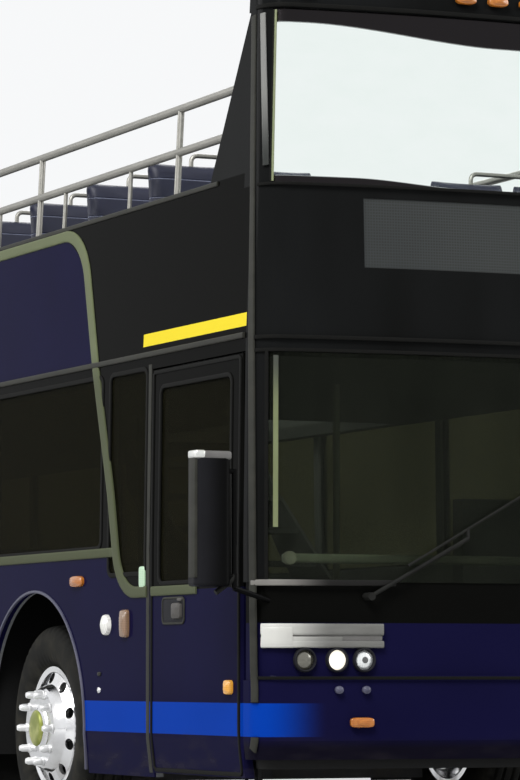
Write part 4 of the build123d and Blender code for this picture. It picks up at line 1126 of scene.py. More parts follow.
class CoachColours(bpy.types.PropertyGroup):
    """Colours of the paint, trim and seats."""

    navy: FloatVectorProperty(
        name="Navy",
        description="Main colour of the body",
        subtype="COLOR",
        default=rgb(24, 23, 50),
        min=0,
        max=1,
    )
    stripe: FloatVectorProperty(
        name="Stripe",
        description="Stripe along the skirt",
        subtype="COLOR",
        default=rgb(14, 54, 142),
        min=0,
        max=1,
    )
    black: FloatVectorProperty(
        name="Black",
        description="Panels round the door and front",
        subtype="COLOR",
        default=rgb(18, 18, 17),
        min=0,
        max=1,
    )
    bar: FloatVectorProperty(
        name="Bar",
        description="Short bar under the upper panel",
        subtype="COLOR",
        default=rgb(222, 200, 52),
        min=0,
        max=1,
    )
    trim: FloatVectorProperty(
        name="Trim",
        description="Swooping trim line",
        subtype="COLOR",
        default=rgb(96, 102, 76),
        min=0,
        max=1,
    )
    seat: FloatVectorProperty(
        name="Seat", description="Seat vinyl", subtype="COLOR", default=rgb(16, 21, 45), min=0, max=1
    )


class CoachSizes(bpy.types.PropertyGroup):
    """Sizes of the stripes, trim and fittings."""

    stripe_low: FloatProperty(
        name="Stripe foot", description="Lower edge of the blue stripe", default=0.497, unit="LENGTH"
    )
    stripe_high: FloatProperty(
        name="Stripe top", description="Upper edge of the blue stripe", default=0.638, unit="LENGTH"
    )
    bar_low: FloatProperty(
        name="Bar foot", description="Lower edge of the short bar", default=2.246, unit="LENGTH"
    )
    bar_high: FloatProperty(
        name="Bar top", description="Upper edge of the short bar", default=2.304, unit="LENGTH"
    )
    trim_width: FloatProperty(
        name="Trim width", description="Width of the swooping trim", default=0.052, unit="LENGTH"
    )
    seal_width: FloatProperty(
        name="Seal width", description="Width of the window rubber", default=0.022, unit="LENGTH"
    )
    tread_depth: FloatProperty(
        name="Tread depth", description="Depth of the tyre grooves", default=0.011, unit="LENGTH"
    )
    nut_count: IntProperty(name="Wheel nuts", description="Nuts on each wheel", default=10, min=4, max=12)


class CoachStage(bpy.types.Operator):
    """Floor, backdrop, lights and the photograph's camera"""

    bl_idname = "coach.stage"
    bl_label = "Stage and camera"

    def execute(self, context):
        scene = context.scene
        scene.view_settings.view_transform = "Standard"
        reach = 90.0
        mesh = bpy.data.meshes.new("floor")
        corners = [(-reach, -reach, 0), (reach, -reach, 0), (reach, reach, 0), (-reach, reach, 0)]
        mesh.from_pydata(corners, [], [(0, 1, 2, 3)])
        mesh.materials.append(finish_of("pale_floor"))
        placed("floor", mesh)
        self.backdrop(scene)
        # Area lights: name, place, what each looks at, size, power in watts
        lights = (
            ("key", (-9, -15, 13), (0, -3, 1.5), 8, 2600),
            ("fill", (13, -11, 8), (0, -2, 2), 9, 900),
            ("rear", (7, 14, 17), (0, 2, 2), 9, 1500),
            ("side", (-15, 4, 7), (0, 1, 1.5), 9, 900),
        )
        for name, place, target, size, power in lights:
            data = bpy.data.lights.new(name, "AREA")
            data.shape, data.size, data.energy = "DISK", size, power
            lamp = placed(name, data)
            lamp.location = place
            aim = unit(np.array(target, float) - np.array(place, float))
            lamp.rotation_euler = (np.arccos(-aim[2]), 0, np.arctan2(-aim[0], aim[1]))
        data = bpy.data.cameras.new("camera")
        data.sensor_width = SENSOR_MM
        data.lens = FOCAL_PX * SENSOR_MM / PHOTO_HEIGHT_PX
        data.clip_end = 400
        camera = placed("camera", data)
        camera.location = CAMERA_PLACE
        pitch = atan((HORIZON_PX - PHOTO_HEIGHT_PX / 2) / FOCAL_PX)
        camera.rotation_euler = (pi / 2 + pitch, 0, CAMERA_YAW)
        scene.camera = camera
        return {"FINISHED"}

    def backdrop(self, scene):
        """World that is white to the camera and through glass, and a soft grey sky to other rays."""
        scene.world = bpy.data.worlds.new("backdrop")
        w = Nodes(scene.world, "Generated")
        _, _, height = w.axes()
        stops = (
            (0.0, (0.16, 0.17, 0.16)),
            (0.12, (0.2, 0.21, 0.2)),
            (0.3, (0.55, 0.57, 0.6)),
            (1.0, (0.85, 0.88, 0.92)),
        )
        sky = w.node("ShaderNodeValToRGB", {"stops": stops}, {0: height})
        studio = w.node("ShaderNodeBackground", None, {"Color": sky, "Strength": 0.9})
        white = w.node("ShaderNodeBackground", None, {"Color": (0.93, 0.94, 0.95)})
        camera, glossy, through = (
            w.node("ShaderNodeLightPath", output=ray)
            for ray in ("Is Camera Ray", "Is Glossy Ray", "Is Transmission Ray")
        )
        seen = w.largest(camera, w.largest(glossy, through))
        shown = w.node("ShaderNodeMixShader", None, {0: seen, 1: studio, 2: white})
        w.node("ShaderNodeOutputWorld", None, {"Surface": shown})


class CoachFinishes(bpy.types.Operator):
    """Procedural finish on every carried-over node"""

    bl_idname = "coach.finishes"
    bl_label = "Finishes"

    def execute(self, context):
        for name, node in NODES.items():
            finish = next(row[1] for row in NODE_FINISHES if name.startswith(row[0]))
            node.data.materials.clear()
            node.data.materials.append(finish_of(finish))
        return {"FINISHED"}


def tyre_form(side, centre_x, axle_y, depth):
    """Coach tyre with ribs, shoulder cuts, rounded sidewalls and rim guards, turned about its axle.

    The radius on the tread is the outer radius, less the groove depth in four narrow bands,
    and less a notch at each shoulder where the sine of 60 times the angle is high.
    """
    steps = 240
    flank_x = np.array([0.103, 0.112, 0.128, 0.141, 0.145, 0.1445, 0.138, 0.128])
    flank_radius = np.array([0.299, 0.311, 0.33, 0.362, 0.395, 0.425, 0.455, 0.478])
    share = np.linspace(-1, 1, 45)
    across = np.concatenate([-flank_x, 0.118 * share, flank_x[::-1]])
    crown = 0.5 - 0.006 * share**2 - 0.006 * np.abs(share) ** 12
    radius = np.concatenate([flank_radius, crown, flank_radius[::-1]])
    inner = np.stack([np.array([0.099, -0.099]), np.array([0.287, 0.287])], -1)
    angle = np.linspace(0, 2 * pi, steps, endpoint=False)
    groove = np.zeros_like(across)
    for middle in (-0.072, -0.025, 0.025, 0.072):
        groove = np.maximum(groove, np.clip(2.4 - np.abs(across - middle) / 0.0035, 0, 1))
    tread = radius[None] - depth * groove[None]
    shoulder = (np.abs(across) > 0.086) & (np.abs(across) < 0.13)
    notch = (np.sin(60 * angle) > 0.35)[:, None] & shoulder[None]
    tread = tread - 0.007 * notch
    rings = np.concatenate([
        np.stack([np.broadcast_to(across, tread.shape), tread], -1),
        np.broadcast_to(inner, (steps, *inner.shape)),
    ], 1)
    along, out = rings[..., 0], rings[..., 1]
    points = np.stack([
        side * (centre_x + along),
        axle_y + out * np.cos(angle)[:, None],
        HUB_Z + out * np.sin(angle)[:, None],
    ], -1)
    return points.reshape(-1, 3), grid_faces(steps, rings.shape[1], True, True)


class CoachTyres(bpy.types.Operator):
    """Tyres with ribbed tread, in place of the plain ones"""

    bl_idname = "coach.tyres"
    bl_label = "Tyres"

    def execute(self, context):
        depth = context.scene.coach_sizes.tread_depth
        for axle, axle_y in AXLE_YS.items():
            for name, side in SIDES:
                centres = (WHEEL_X, WHEEL_X - TWIN_SPACING) if axle == "drive" else (WHEEL_X,)
                forms = [tyre_form(side, x, axle_y, depth) for x in centres]
                body = f"{axle}_wheel_{name}"
                tyre = make(f"tread_{axle}_{name}", forms, "tyre_rubber", body, "tyre_rubber", 50)
                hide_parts(f"tyre_{axle}_{name}")
        return {"FINISHED"}


class CoachWheelFittings(bpy.types.Operator):
    """Chrome nut covers and hub caps on the wheels"""

    bl_idname = "coach.wheel_fittings"
    bl_label = "Wheel fittings"

    def execute(self, context):
        count = context.scene.coach_sizes.nut_count
        nut_circle = 0.1675
        cover = (
            (-0.002, 0.0),
            (-0.002, 0.023),
            (0.006, 0.0225),
            (0.009, 0.0185),
            (0.04, 0.0175),
            (0.051, 0.013),
            (0.054, 0.0),
        )
        cap = (
            (0.0, 0.0),
            (0.0, 0.088),
            (0.012, 0.086),
            (0.03, 0.078),
            (0.04, 0.062),
            (0.043, 0.04),
            (0.043, 0.0),
        )
        for axle, axle_y in AXLE_YS.items():
            # Where the nuts and the cap stand, and the cap's depth and radius against its profile
            if axle == "drive":
                face, cap_x, stretch = WHEEL_X - TWIN_SPACING / 2 + 0.018, WHEEL_X + 0.052, (0.9, 0.9)
            else:
                face, cap_x, stretch = 1.265, 1.283, (0.25, 1.0)
            for name, side in SIDES:
                body = f"{axle}_wheel_{name}"
                nuts = [
                    turned(cover, (side * face, axle_y + y, HUB_Z + z), (side, 0, 0), 12)
                    for y, z in ring_profile(nut_circle, count)
                ]
                make(f"nuts_{axle}_{name}", nuts, "bright_nut", body, "wheel_metal")
                domed = turned(np.multiply(cap, stretch), (side * cap_x, axle_y, HUB_Z), (side, 0, 0), 40)
                make(f"hub_cap_{axle}_{name}", [domed], "hub_cap", body, "wheel_metal")
        return {"FINISHED"}


def side_strip(side, corners, radii, width, height, closed=False, steep=0.0):
    """Bead along a rounded path of (y, z) points on a side wall, broader by steep where upright."""
    path = rounded_path(corners, radii, closed=closed)
    points = side_points(side, path[:, 0], path[:, 1])
    rise = np.abs(unit(np.gradient(path, axis=0))[:, 1])
    return sweep(points, (side, 0, 0), bead(width, height), closed, 1 + steep * rise)


class CoachSideTrim(bpy.types.Operator):
    """Swooping trim, deck strips, waist bands and arch lips along the sides"""

    bl_idname = "coach.side_trim"
    bl_label = "Side trim"

    def execute(self, context):
        sizes = context.scene.coach_sizes
        width = sizes.trim_width
        pale, strips, lips, posts = [], [], [], []
        foot_y = SWOOP_Y + (SWOOP_BASE_Z - SWOOP_Z) * SWOOP_LEAN
        bend_y = SWOOP_Y + (SWOOP_BEND_Z - SWOOP_Z) * SWOOP_LEAN
        head_y = bend_y + (SWOOP_TOP_Z - SWOOP_BEND_Z) * (SWOOP_LEAN + SWOOP_BEND)
        pane_end = PANE_FRONT_Y + PANE_COUNT * PANE_PITCH
        waist_y = SWOOP_Y + (1.32 - SWOOP_Z) * SWOOP_LEAN
        # Edges of the arches as (y, z): one round arch in front, one long arch over the rear pair
        angle = np.linspace(-0.28, pi + 0.28, 60)
        round_arch = on_circle(angle) * ARCH_RADIUS + (AXLE_YS["front"], HUB_Z)
        angle = np.linspace(pi + 0.28, pi / 2, 30)
        quarter = on_circle(angle) * REAR_ARCH_RADIUS
        front_half = quarter + (AXLE_YS["drive"], HUB_Z)
        rear_half = (quarter * (-1, 1))[::-1] + (AXLE_YS["tag"], HUB_Z)
        long_arch = np.concatenate([front_half, rear_half])
        swoop = (
            (6.15, SWOOP_TOP_Z),
            (head_y, SWOOP_TOP_Z),
            (bend_y, SWOOP_BEND_Z),
            (foot_y, SWOOP_BASE_Z),
            (DOOR_REAR_Y + 0.035, SWOOP_BASE_Z),
        )
        swoop_radii = (0, SWOOP_TOP_RADIUS, 1.5, SWOOP_BASE_RADIUS, 0)
        waist_z = 1.322
        waist = ((pane_end, waist_z), (waist_y + 0.02, waist_z))
        deck_z, belt_z, post_y = 2.207, BELT_Z - 0.012, -5.203
        deck = ((REAR_JOINT_Y, deck_z), (FRONT_JOINT_Y + 0.01, deck_z))
        belt = ((REAR_JOINT_Y, belt_z), (FRONT_JOINT_Y + 0.36, belt_z))
        post = ((post_y, DECK_Z - 0.03), (post_y, DOOR_Z))
        for _, side in SIDES:
            pale.append(side_strip(side, swoop, swoop_radii, width, 0.009, steep=0.45))
            pale.append(side_strip(side, waist, (0, 0), 0.044, 0.008))
            strips.append(side_strip(side, deck, (0, 0), 0.026, 0.012))
            strips.append(side_strip(side, belt, (0, 0), 0.022, 0.008))
            for arch in (round_arch, long_arch):
                lips.append(sweep(side_points(side, *arch.T), (side, 0, 0), bead(0.014, 0.009)))
            posts.append(side_strip(side, post, (0, 0), 0.036, 0.0025))
        make("swoop_trim", pale, "olive_trim")
        make("door_post_strips", posts, "grey_trim")
        make("deck_strips", strips, "grey_trim")
        make("arch_lips", lips, "lip_edge")
        return {"FINISHED"}


def pane_rows():
    """Side, front, rear, base and top of each side window."""
    rows = [(side, DOOR_REAR_Y + 0.06, PANE_FRONT_Y - 0.09, 1.215) for _, side in SIDES]
    rows.append((1, FRONT_JOINT_Y + 0.09, DOOR_REAR_Y, 1.165))
    for _, side in SIDES:
        for i in range(PANE_COUNT):
            start = PANE_FRONT_Y + i * PANE_PITCH
            rows.append((side, start, start + PANE_PITCH - MULLION, WAIST_Z))
    return rows


class CoachWindowSeals(bpy.types.Operator):
    """Rubber round each side window"""

    bl_idname = "coach.window_seals"
    bl_label = "Window seals"

    def execute(self, context):
        width = context.scene.coach_sizes.seal_width
        seals = []
        for side, front, rear, base in pane_rows():
            corners = ((front, base), (rear, base), (rear, GLASS_TOP_Z), (front, GLASS_TOP_Z))
            seals.append(side_strip(side, corners, (0.04,) * 4, width, 0.005, closed=True))
        make("window_rubber", seals, "black_rubber")
        return {"FINISHED"}


def end_strip(end, span, z, width, height, steps=90, lift=0.0):
    """Level bead round the nose or tail between two distances along the outline."""
    s = np.linspace(*span, steps)
    points, normals = end_points(end, s, z, lift)
    return sweep(points, normals, bead(width, height))


def end_upright(end, s, z, width, height):
    """Upright bead on the nose or tail through distances s, or one distance, at heights z."""
    points, normals = end_points(end, s, z)
    return sweep(points, normals, bead(width, height))


def end_plate(end, x, z, width, height, depth, power, crown=0.0):
    """Plate on the nose or tail at a width and height."""
    points, normals = end_points(end, bow_s(x), z)
    normal = normals[()]
    across = np.array((-normal[1], normal[0], 0.0))
    return plate(points[()], across, np.cross(normal, across), width, height, depth, power, crown)


class CoachFrontTrim(bpy.types.Operator):
    """Mouldings, bezels and marker lamps of the front"""

    bl_idname = "coach.front_trim"
    bl_label = "Front trim"

    def execute(self, context):
        bright, dark, amber, bezels, posts, bases, edges = [], [], [], [], [], [], []
        grooves, bosses, inner_strips = [], [], []
        # Mouldings of the bar over the lamps: reach from s to s, height, width and thickness
        mouldings = (
            (0.755, 1.29, 0.949, 0.05, 0.014),
            (0.755, 1.29, 0.886, 0.03, 0.014),
            (0.94, 1.29, 0.904, 0.03, 0.012),
            (1.16, 1.285, 0.918, 0.09, 0.017),
        )
        # Level rubber lines: reach on each side, height, width and thickness
        lines = (
            (1.37, DECK_Z, 0.018, 0.006),
            (1.37, FRONT_DECK_Z + 0.004, 0.016, 0.004),
            (1.37, 0.744, 0.014, 0.004),
            (1.3, SCREEN_TOP_Z + 0.012, 0.02, 0.006),
            (1.3, SCREEN_Z, 0.014, 0.005),
        )
        lower_z = np.linspace(1.38, FRONT_DECK_Z - 0.02, 24)
        upper_z = np.linspace(SCREEN_Z + 0.01, SCREEN_TOP_Z - 0.01, 24)
        screen_z = np.linspace(SILL_Z, FRONT_DECK_Z, 24)
        inner_z = np.linspace(2.93, SCREEN_TOP_Z - 0.02, 24)
        post_z = np.linspace(0.642, SCREEN_TOP_Z - 0.02, 60)
        foot_z = np.linspace(0.44, 0.495, 6)
        post_reach = 1.342 - np.clip(post_z - SCREEN_Z, 0, 1) * 0.022
        ring = (
            (-0.01, 0.052),
            (0.006, 0.051),
            (0.01, 0.047),
            (0.008, 0.043),
            (-0.01, 0.042),
            (-0.01, 0.052),
        )
        for reach, z, width, height in lines:
            dark.append(end_strip(-1, (-reach, reach), z, width, height))
        for _, side in SIDES:
            for first, last, z, width, height in mouldings:
                span = (side * first, side * last)
                bright.append(end_strip(-1, span, z, width, height, 30, -0.012))
            grooves.append(end_strip(-1, (side * 0.76, side * 1.2), 0.918, 0.05, 0.005, 30, -0.012))
            bases.append(end_strip(-1, (side * 0.7, side * 1.35), SILL_Z - 0.004, 0.026, 0.007, 40))
            posts.append(end_upright(-1, side * post_reach, post_z, 0.044, 0.006))
            posts.append(end_upright(-1, side * 1.342, foot_z, 0.046, 0.006))
            inner_strips.append(end_upright(-1, side * 1.252, inner_z, 0.03, 0.005))
            edges.append(end_upright(-1, side * (post_s(lower_z) - 0.04), lower_z, 0.022, 0.003))
            edges.append(end_upright(-1, side * (post_s(upper_z) - 0.004), upper_z, 0.014, 0.004))
            dark.append(end_upright(-1, side * post_s(upper_z), upper_z, 0.014, 0.004))
            dark.append(end_upright(-1, side * post_s(screen_z), screen_z, 0.016, 0.004))
            for x in (0.84, 0.96, 1.1):
                lamp, _ = end_points(-1, bow_s(side * x), 0.82, -0.006)
                bezels.append(turned(ring, lamp, (0, -1, 0), 32))
            for x in (0.84, 0.96):
                bosses.append(end_plate(-1, side * x, 0.694, 0.038, 0.034, 0.012, 2.0, 0.006))
            amber.append(end_plate(-1, side * 0.86, 0.557, 0.105, 0.042, 0.018, 4.0, 0.008))
        for x in (-0.31, -0.155, 0.0, 0.155, 0.31, -1.05, 1.05):
            amber.append(end_plate(-1, x, 3.7, 0.095, 0.04, 0.022, 3.0, 0.01))
        make("bright_mouldings", bright, "bar_face")
        make("bar_grooves", grooves, "bar_groove")
        # The bosses take the arch edge's paler navy, a painted highlight.
        make("bumper_bosses", bosses, "lip_edge")
        make("front_seals", dark, "black_rubber")
        make("corner_strips", posts, "grey_trim")
        make("inner_corner_strips", inner_strips, "pale_corner")
        make("screen_base_strips", bases, "base_light")
        make("glass_edge_strips", edges, "edge_light")
        make("lamp_bezels", bezels, "black_plastic")
        make("front_markers", amber, "amber_lens", slot="tail_lens")
        return {"FINISHED"}


def side_plate(side, y, z, width, height, depth, power, crown=0.0):
    """Plate on a side wall."""
    point = side_points(side, y, z)[()]
    return plate(point, (0, -side, 0), (0, 0, -1), width, height, depth, power, crown)


class CoachSideLamps(bpy.types.Operator):
    """Marker lamps, the round side lamp, flap locks and the blank pale plate beside the door, which is no
    lamp and glows with painted light
    """

    bl_idname = "coach.side_lamps"
    bl_label = "Side lamps"

    def execute(self, context):
        # Piece, finish, slot and y places, then its form: z, width, height, depth, outline power, crown
        marker_ys, lamp_ys = (-4.356, -0.4, 5.6), (-4.722,)
        rows = (
            ("side_markers", "amber_lens", "tail_lens", marker_ys, (1.197, 0.155, 0.052, 0.018, 3, 0.008)),
            ("side_repeaters", "worn_amber", "tail_lens", (-4.945,), (0.991, 0.08, 0.128, 0.022, 5, 0.008)),
            ("side_round_lamps", "round_lens", "lamp_lens", lamp_ys, (0.988, 0.096, 0.096, 0.022, 2, 0.01)),
            ("flap_locks", "chrome", "trim_plastic", (-4.63,), (0.687, 0.036, 0.03, 0.008, 2, 0.003)),
            ("flap_latches", "grey_trim", "trim_plastic", (-4.63,), (0.762, 0.04, 0.018, 0.006, 4, 0.002)),
            # The pale plate is no lamp; its glow is painted light.
            ("side_pale_plates", "green_lens", "lamp_lens", (-5.142,), (1.2, 0.062, 0.096, 0.009, 6, 0)),
        )
        for name, finish, slot, places, form in rows:
            plates = [side_plate(side, y, *form) for _, side in SIDES for y in places]
            make(name, plates, finish, slot=slot)
        return {"FINISHED"}


class CoachDoorFittings(bpy.types.Operator):
    """Rubber edges, the waist band, handle and amber lamp of the door"""

    bl_idname = "coach.door_fittings"
    bl_label = "Door fittings"

    def execute(self, context):
        side = -1
        front, rear = DOOR_FRONT_Y + 0.02, DOOR_REAR_Y - 0.018
        outer = ((front, 0.335), (rear, 0.335), (rear, DOOR_TOP_Z - 0.012), (front, DOOR_TOP_Z - 0.012))
        front_edge, rear_edge, head = front + 0.09, rear - 0.08, DOOR_TOP_Z - 0.08
        pane = ((front_edge, 1.165), (rear_edge, 1.165), (rear_edge, head), (front_edge, head))
        edges = [
            side_strip(side, outer, (0.02,) * 4, 0.018, 0.006, closed=True),
            side_strip(side, pane, (0.04,) * 4, 0.02, 0.006, closed=True),
        ]
        make("door_rubber", edges, "black_rubber", "door")
        # Painted shadow: the band stops at y -5.75, short of the door's front, leaving black paint where the
        # mirror's shadow falls.
        band = side_strip(side, ((rear, 1.132), (-5.75, 1.132)), (0, 0), 0.044, 0.008)
        make("door_band", [band], "olive_trim", "door")
        corners = ((-5.615, 0.985), (-5.375, 0.985), (-5.375, 1.098), (-5.615, 1.098))
        rim = side_strip(side, corners, (0.02,) * 4, 0.01, 0.006, closed=True)
        make("door_handle_rim", [rim], "grey_trim", "door")
        grip = side_plate(side, -5.545, 1.04, 0.1, 0.072, 0.018, 6.0, 0.006)
        cap = side_plate(side, -5.585, 1.09, 0.05, 0.014, 0.014, 4.0)
        make("door_handle", [grip, cap], "grip_metal", "door")
        recess = side_plate(side, -5.495, 1.042, 0.236, 0.108, 0.003, 8.0)
        make("door_handle_recess", [recess], "black_plastic", "door")
        lamp = side_plate(side, -6.1, 0.705, 0.07, 0.062, 0.02, 4.0, 0.008)
        make("door_marker", [lamp], "yellow_lens", "door", "tail_lens")
        return {"FINISHED"}


class CoachMirrors(bpy.types.Operator):
    """Mirror glass and the pale cap edge on each mirror"""

    bl_idname = "coach.mirrors"
    bl_label = "Mirrors"

    def execute(self, context):
        glass, caps, tips, rims, brackets = [], [], [], [], []
        low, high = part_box("mirrors")
        arm = rounded_path(((1.414, 1.3), (1.414, 1.16), (1.5, 1.1)), (0, 0.05, 0))
        for _, side in SIDES:
            x = side * MIRROR_X
            facing = ((-1, 0, 0), (0, 0, 1))
            glass.append(plate((x, MIRROR_Y + 0.04, 1.5), *facing, 0.14, 0.38, 0.006, 8.0))
            glass.append(plate((x, MIRROR_Y + 0.04, 1.22), *facing, 0.14, 0.14, 0.006, 8.0, 0.008))
            # Slabs over the shell: middle from its own, half width, y and z limits, and edge radius
            for forms, away, half, front, rear, foot, head, edge in (
                (caps, 0.0, 0.084, 0.042, 0.042, high.z - 0.034, high.z + 0.003, 0.012),
                (tips, 0.062, 0.024, 0.044, 0.044, high.z - 0.03, high.z + 0.005, 0.01),
                (rims, 0.078, 0.007, 0.035, 0.034, low.z + 0.1, high.z - 0.026, 0.006),
            ):
                middle = side * (MIRROR_X + away)
                corner = (middle - half, MIRROR_Y - front, foot)
                forms.append(slab(corner, (middle + half, MIRROR_Y + rear, head), edge))
            bends = np.stack([side * arm[:, 0], np.full(len(arm), MIRROR_Y), arm[:, 1]], -1)
            brackets.append(sweep(bends, (0, -1, 0), ring_profile(0.012)))
        make("mirror_glass", glass, "mirror_face", slot="lamp_lens")
        make("mirror_caps", caps, "bar_groove")
        make("mirror_tips", tips, "pale_trim")
        make("mirror_brackets", brackets, "wiper_metal")
        make("mirror_rims", rims, "grey_trim")
        return {"FINISHED"}


def pad_form(width, depth, height):
    """Plain pad about the origin: a rounded box that is a little smaller than the space it fills."""
    slack = 0.012
    half = np.array((width / 2 - slack, depth / 2 - slack, height / 2 - slack * 0.6))
    return slab(-half, half, min(half) * 0.9, 7)


def inflated(form, voxel, cap, pressure):
    """The form as a pad blown up by a cloth simulation, with no point moved past the cap.

    It is remeshed to even faces and then simulated for 20 steps under pressure, with no gravity.
    """
    pad = placed("pad", closed_mesh("pad", form))
    scene = bpy.context.scene
    remesh = pad.modifiers.new("remesh", "REMESH")
    remesh.mode, remesh.voxel_size = "VOXEL", voxel
    even = evaluated(pad)
    pad.modifiers.remove(remesh)
    old = pad.data
    pad.data = bpy.data.meshes.new("pad_even")
    pad.data.from_pydata(even[0].tolist(), [], even[1])
    bpy.data.meshes.remove(old)
    cloth = pad.modifiers.new("cloth", "CLOTH")
    cloth.settings.use_pressure = True
    cloth.settings.uniform_pressure_force = pressure
    cloth.settings.effector_weights.gravity = 0
    cloth.settings.tension_stiffness = 25
    for step in range(1, 21):
        scene.frame_set(step)
    swollen = evaluated(pad)
    scene.frame_set(1)
    move = swollen[0] - even[0]
    length = np.linalg.norm(move, axis=1, keepdims=True)
    even = (even[0] + move * np.minimum(1, cap / np.maximum(length, 1e-9)), even[1])
    bpy.data.objects.remove(pad)
    return even


def evaluated(piece):
    """Points and faces of a piece with its modifiers worked out."""
    graph = bpy.context.evaluated_depsgraph_get()
    graph.update()
    mesh = piece.evaluated_get(graph).to_mesh()
    points = np.zeros(len(mesh.vertices) * 3)
    mesh.vertices.foreach_get("co", points)
    faces = [list(polygon.vertices) for polygon in mesh.polygons]
    piece.evaluated_get(graph).to_mesh_clear()
    return points.reshape(-1, 3), faces


def seat_rows():
    """Side, y of the cushion's front and floor height of each double seat."""
    stair_rear = -0.97
    rows = (
        (-1, NOSE_Y + 1.15, 15, UPPER_FLOOR_Z),
        (1, NOSE_Y + 1.15, 3, UPPER_FLOOR_Z),
        (1, stair_rear + 0.25, 8, UPPER_FLOOR_Z),
        (-1, -2.55, 5, LOWER_FLOOR_Z),
        (1, stair_rear + 0.33, 2, LOWER_FLOOR_Z),
    )
    return [(side, start + i * 0.76, floor) for side, start, count, floor in rows for i in range(count)]


class CoachSeats(bpy.types.Operator):
    """Padded cushions and backs of the double seats, with grab rails on their backs"""

    bl_idname = "coach.seats"
    bl_label = "Seats"

    def execute(self, context):
        cushion = inflated(pad_form(0.44, 0.43, 0.075), 0.021, 0.012, 4.0)
        back = inflated(pad_form(0.44, 0.56, 0.06), 0.022, 0.012, 4.0)
        lean = atan(0.07 / 0.63)
        turn = pi / 2 - lean
        tilted = back[0].copy()
        up, out = back[0][:, 1], back[0][:, 2]
        tilted[:, 1] = up * cos(turn) + out * sin(turn)
        tilted[:, 2] = up * sin(turn) - out * cos(turn)
        cushions, backs, rails = [], [], []
        # Depth of a cushion, height of its top over the floor, middle of a double seat and of its halves
        depth, height, middle, half = 0.43, 0.43, 0.74, 0.226
        for side, y, floor in seat_rows():
            for x in (side * middle - half, side * middle + half):
                cushions.append((cushion[0] + (x, y + depth / 2, floor + height - 0.033), cushion[1]))
                backs.append((tilted + (x, y + depth + 0.07, floor + height + 0.27), back[1]))
            top = floor + height + 0.575
            rail_y = y + depth + 0.1
            left, right = side * middle - 0.2, side * middle + 0.2
            corners = ((left, top - 0.12), (left, top), (right, top), (right, top - 0.12))
            path = rounded_path(corners, (0, 0.03, 0.03, 0))
            points = np.stack([path[:, 0], np.full(len(path), rail_y), path[:, 1]], -1)
            rails.append(sweep(points, (0, -1, 0), ring_profile(0.011, 10)))
        for name, forms, node, shape in (
            ("seat_cushion_pads", cushions, "seat_cushions", cushion[0]),
            ("seat_back_pads", backs, "seat_backs", back[0]),
        ):
            pads = make(name, forms, "seat_vinyl", "coach", "seat_cloth", 80)
            layer = pads.data.uv_layers.new(name="pad")
            corner = np.zeros(len(pads.data.loops), int)
            pads.data.loops.foreach_get("vertex_index", corner)
            local = np.tile(shape[:, :2], (len(forms), 1))[corner]
            layer.data.foreach_set("uv", local.astype(np.float32).ravel())
            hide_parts(node)
        make("seat_rails", rails, "satin_rail", slot="rail_metal")
        return {"FINISHED"}


class CoachCab(bpy.types.Operator):
    """Driver's binnacle and dials, the dashboard's strip with a painted reflection and a glowing disc of
    painted highlight, and a pale sheet of painted reflection behind the windscreen
    """

    bl_idname = "coach.cab"
    bl_label = "Cab"

    def execute(self, context):
        hood = slab((0.45, -5.99, 1.11), (0.95, -5.86, 1.24), 0.03)
        make("binnacle", [hood], "black_plastic")
        ledge = slab((-1.12, -6.27, 1.235), (0.4, -6.24, 1.275), 0.012)
        make("dash_rail", [ledge], "dash_strip")
        # Painted highlight: this small glowing disc at the door's end of the dashboard strip is no lamp; it
        # stands in for a glint.
        lamp = turned(((0, 0), (0, 0.03), (-0.02, 0.028), (-0.024, 0)), (-1.1, -6.28, 1.255), (0, 1, 0), 24)
        make("dash_painted_glint", [lamp], "round_lens")
        dial = ((0, 0), (0, 0.05), (0.006, 0.05), (0.008, 0.044), (0.003, 0.042), (0.003, 0))
        dials = [turned(dial, (x, -5.862, 1.185), (0, 1, 0), 28) for x in (0.58, 0.7, 0.82)]
        make("dials", dials, "pale_trim")
        # Painted reflection: a pale sheet behind the windscreen stands in for a reflection on the glass.
        sky_sheet = slab((0.35, -6.33, 1.95), (1.0, -6.318, 2.1), 0.004)
        make("windscreen_reflection_sheet", [sky_sheet], "painted_reflection_weave")
        return {"FINISHED"}


class CoachDeck(bpy.types.Operator):
    """Poles on the lower deck"""

    bl_idname = "coach.deck"
    bl_label = "Deck fittings"

    def execute(self, context):
        poles = []
        for x, y in ((-0.3, -5.1), (0.28, -3.0), (-0.28, -2.7)):
            z = np.linspace(LOWER_FLOOR_Z, 2.11, 6)
            path = np.stack([np.full(6, x), np.full(6, y), z], -1)
            poles.append(sweep(path, (0, -1, 0), ring_profile(0.016, 14)))
        make("grab_poles", poles, "satin_rail", slot="rail_metal")
        return {"FINISHED"}


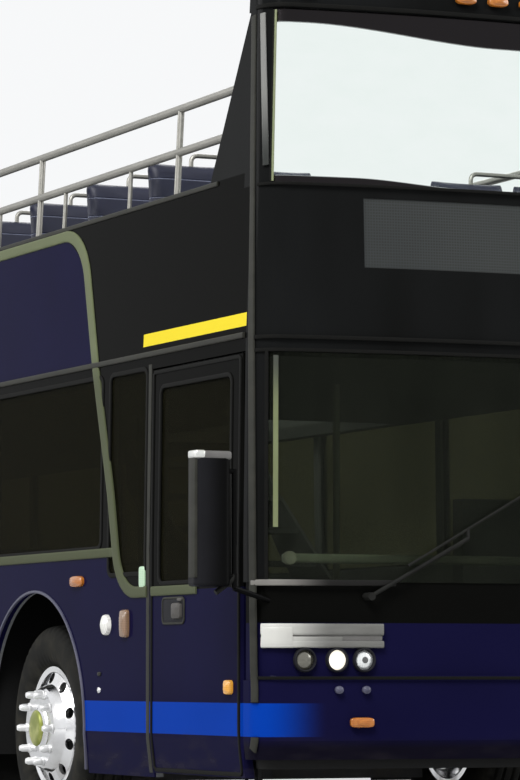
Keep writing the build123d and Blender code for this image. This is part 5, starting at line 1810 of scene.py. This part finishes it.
class CoachRear(bpy.types.Operator):
    """Blank number plate, strips, lamps and the lid's handle and locks on the tail"""

    bl_idname = "coach.rear"
    bl_label = "Rear fittings"

    def execute(self, context):
        strips = [end_strip(1, (-1.37, 1.37), *row) for row in ((0.5, 0.05, 0.012), (2.2, 0.022, 0.01))]
        make("tail_strips", strips, "black_rubber")
        marker_xs = (-0.155, 0, 0.155, -1.05, 1.05)
        red = [end_plate(1, x, 2.82, 0.09, 0.036, 0.018, 3.0, 0.008) for x in marker_xs]
        make("tail_markers", red, "red_lens", slot="tail_lens")
        make("tail_plate", [end_plate(1, 0.0, 1.29, 0.305, 0.152, 0.006, 10.0)], "plate_face")
        make("tail_plate_surround", [end_plate(1, 0.0, 1.29, 0.34, 0.186, 0.003, 10.0)], "black_plastic")
        turn, back = (
            [end_plate(1, x, z, 0.085, 0.085, 0.022, 2.0, 0.01) for x in (-1.07, 1.07)] for z in (1.8, 1.06)
        )
        make("tail_turn_lamps", turn, "yellow_lens", slot="tail_lens")
        make("tail_reversing_lamps", back, "tail_clear", slot="lamp_lens")
        locks = [end_plate(1, x, 1.095, 0.034, 0.034, 0.008, 2.0, 0.003) for x in (-0.7, 0.7)]
        locks.append(end_plate(1, 0.0, 0.598, 0.15, 0.03, 0.02, 5.0, 0.004))
        make("lid_locks", locks, "chrome", "lid")
        return {"FINISHED"}


class CoachUnderside(bpy.types.Operator):
    """Mudflaps behind the wheels and splash walls inside the rear arches, hung from the floor"""

    bl_idname = "coach.underside"
    bl_label = "Underside"

    def execute(self, context):
        flaps, walls = [], []
        for _, side in SIDES:
            middle, wall_x = side * WHEEL_X, side * 0.46
            for y in (-2.99, 4.36):
                flaps.append(slab((middle - 0.15, y, 0.2), (middle + 0.15, y + 0.008, 0.62), 0.003))
            walls.append(slab((wall_x - 0.004, 1.56, 0.76), (wall_x + 0.004, 4.36, 1.18), 0.003))
        make("mudflaps", flaps, "black_rubber", slot="tyre_rubber")
        make("splash_walls", walls, "frame_paint")
        return {"FINISHED"}


class CoachPanel(bpy.types.Panel):
    """Buttons of the coach's groups of pieces"""

    bl_idname = "VIEW3D_PT_coach"
    bl_label = "Coach"
    bl_space_type = "VIEW_3D"
    bl_region_type = "UI"
    bl_category = "Coach"

    def draw(self, context):
        for group in (context.scene.coach_sizes, context.scene.coach_colours):
            for key in group.bl_rna.properties.keys():
                if key not in ("rna_type", "name"):
                    self.layout.prop(group, key)
        for operator in OPERATORS:
            self.layout.operator(operator.bl_idname)


OPERATORS = (
    CoachStage,
    CoachFinishes,
    CoachTyres,
    CoachWheelFittings,
    CoachSideTrim,
    CoachWindowSeals,
    CoachFrontTrim,
    CoachSideLamps,
    CoachDoorFittings,
    CoachMirrors,
    CoachSeats,
    CoachCab,
    CoachDeck,
    CoachRear,
    CoachUnderside,
)


def register():
    """Registers the properties, operators and panel."""
    for item in (CoachColours, CoachSizes, *OPERATORS, CoachPanel):
        bpy.utils.register_class(item)
    bpy.types.Scene.coach_colours = PointerProperty(type=CoachColours)
    bpy.types.Scene.coach_sizes = PointerProperty(type=CoachSizes)


def unregister():
    """Removes what register() added."""
    del bpy.types.Scene.coach_colours
    del bpy.types.Scene.coach_sizes
    for item in reversed((CoachColours, CoachSizes, *OPERATORS, CoachPanel)):
        bpy.utils.unregister_class(item)


def main():
    register()
    for operator in OPERATORS:
        group, name = operator.bl_idname.split(".")
        getattr(getattr(bpy.ops, group), name)()


if __name__ == "__main__":
    main()
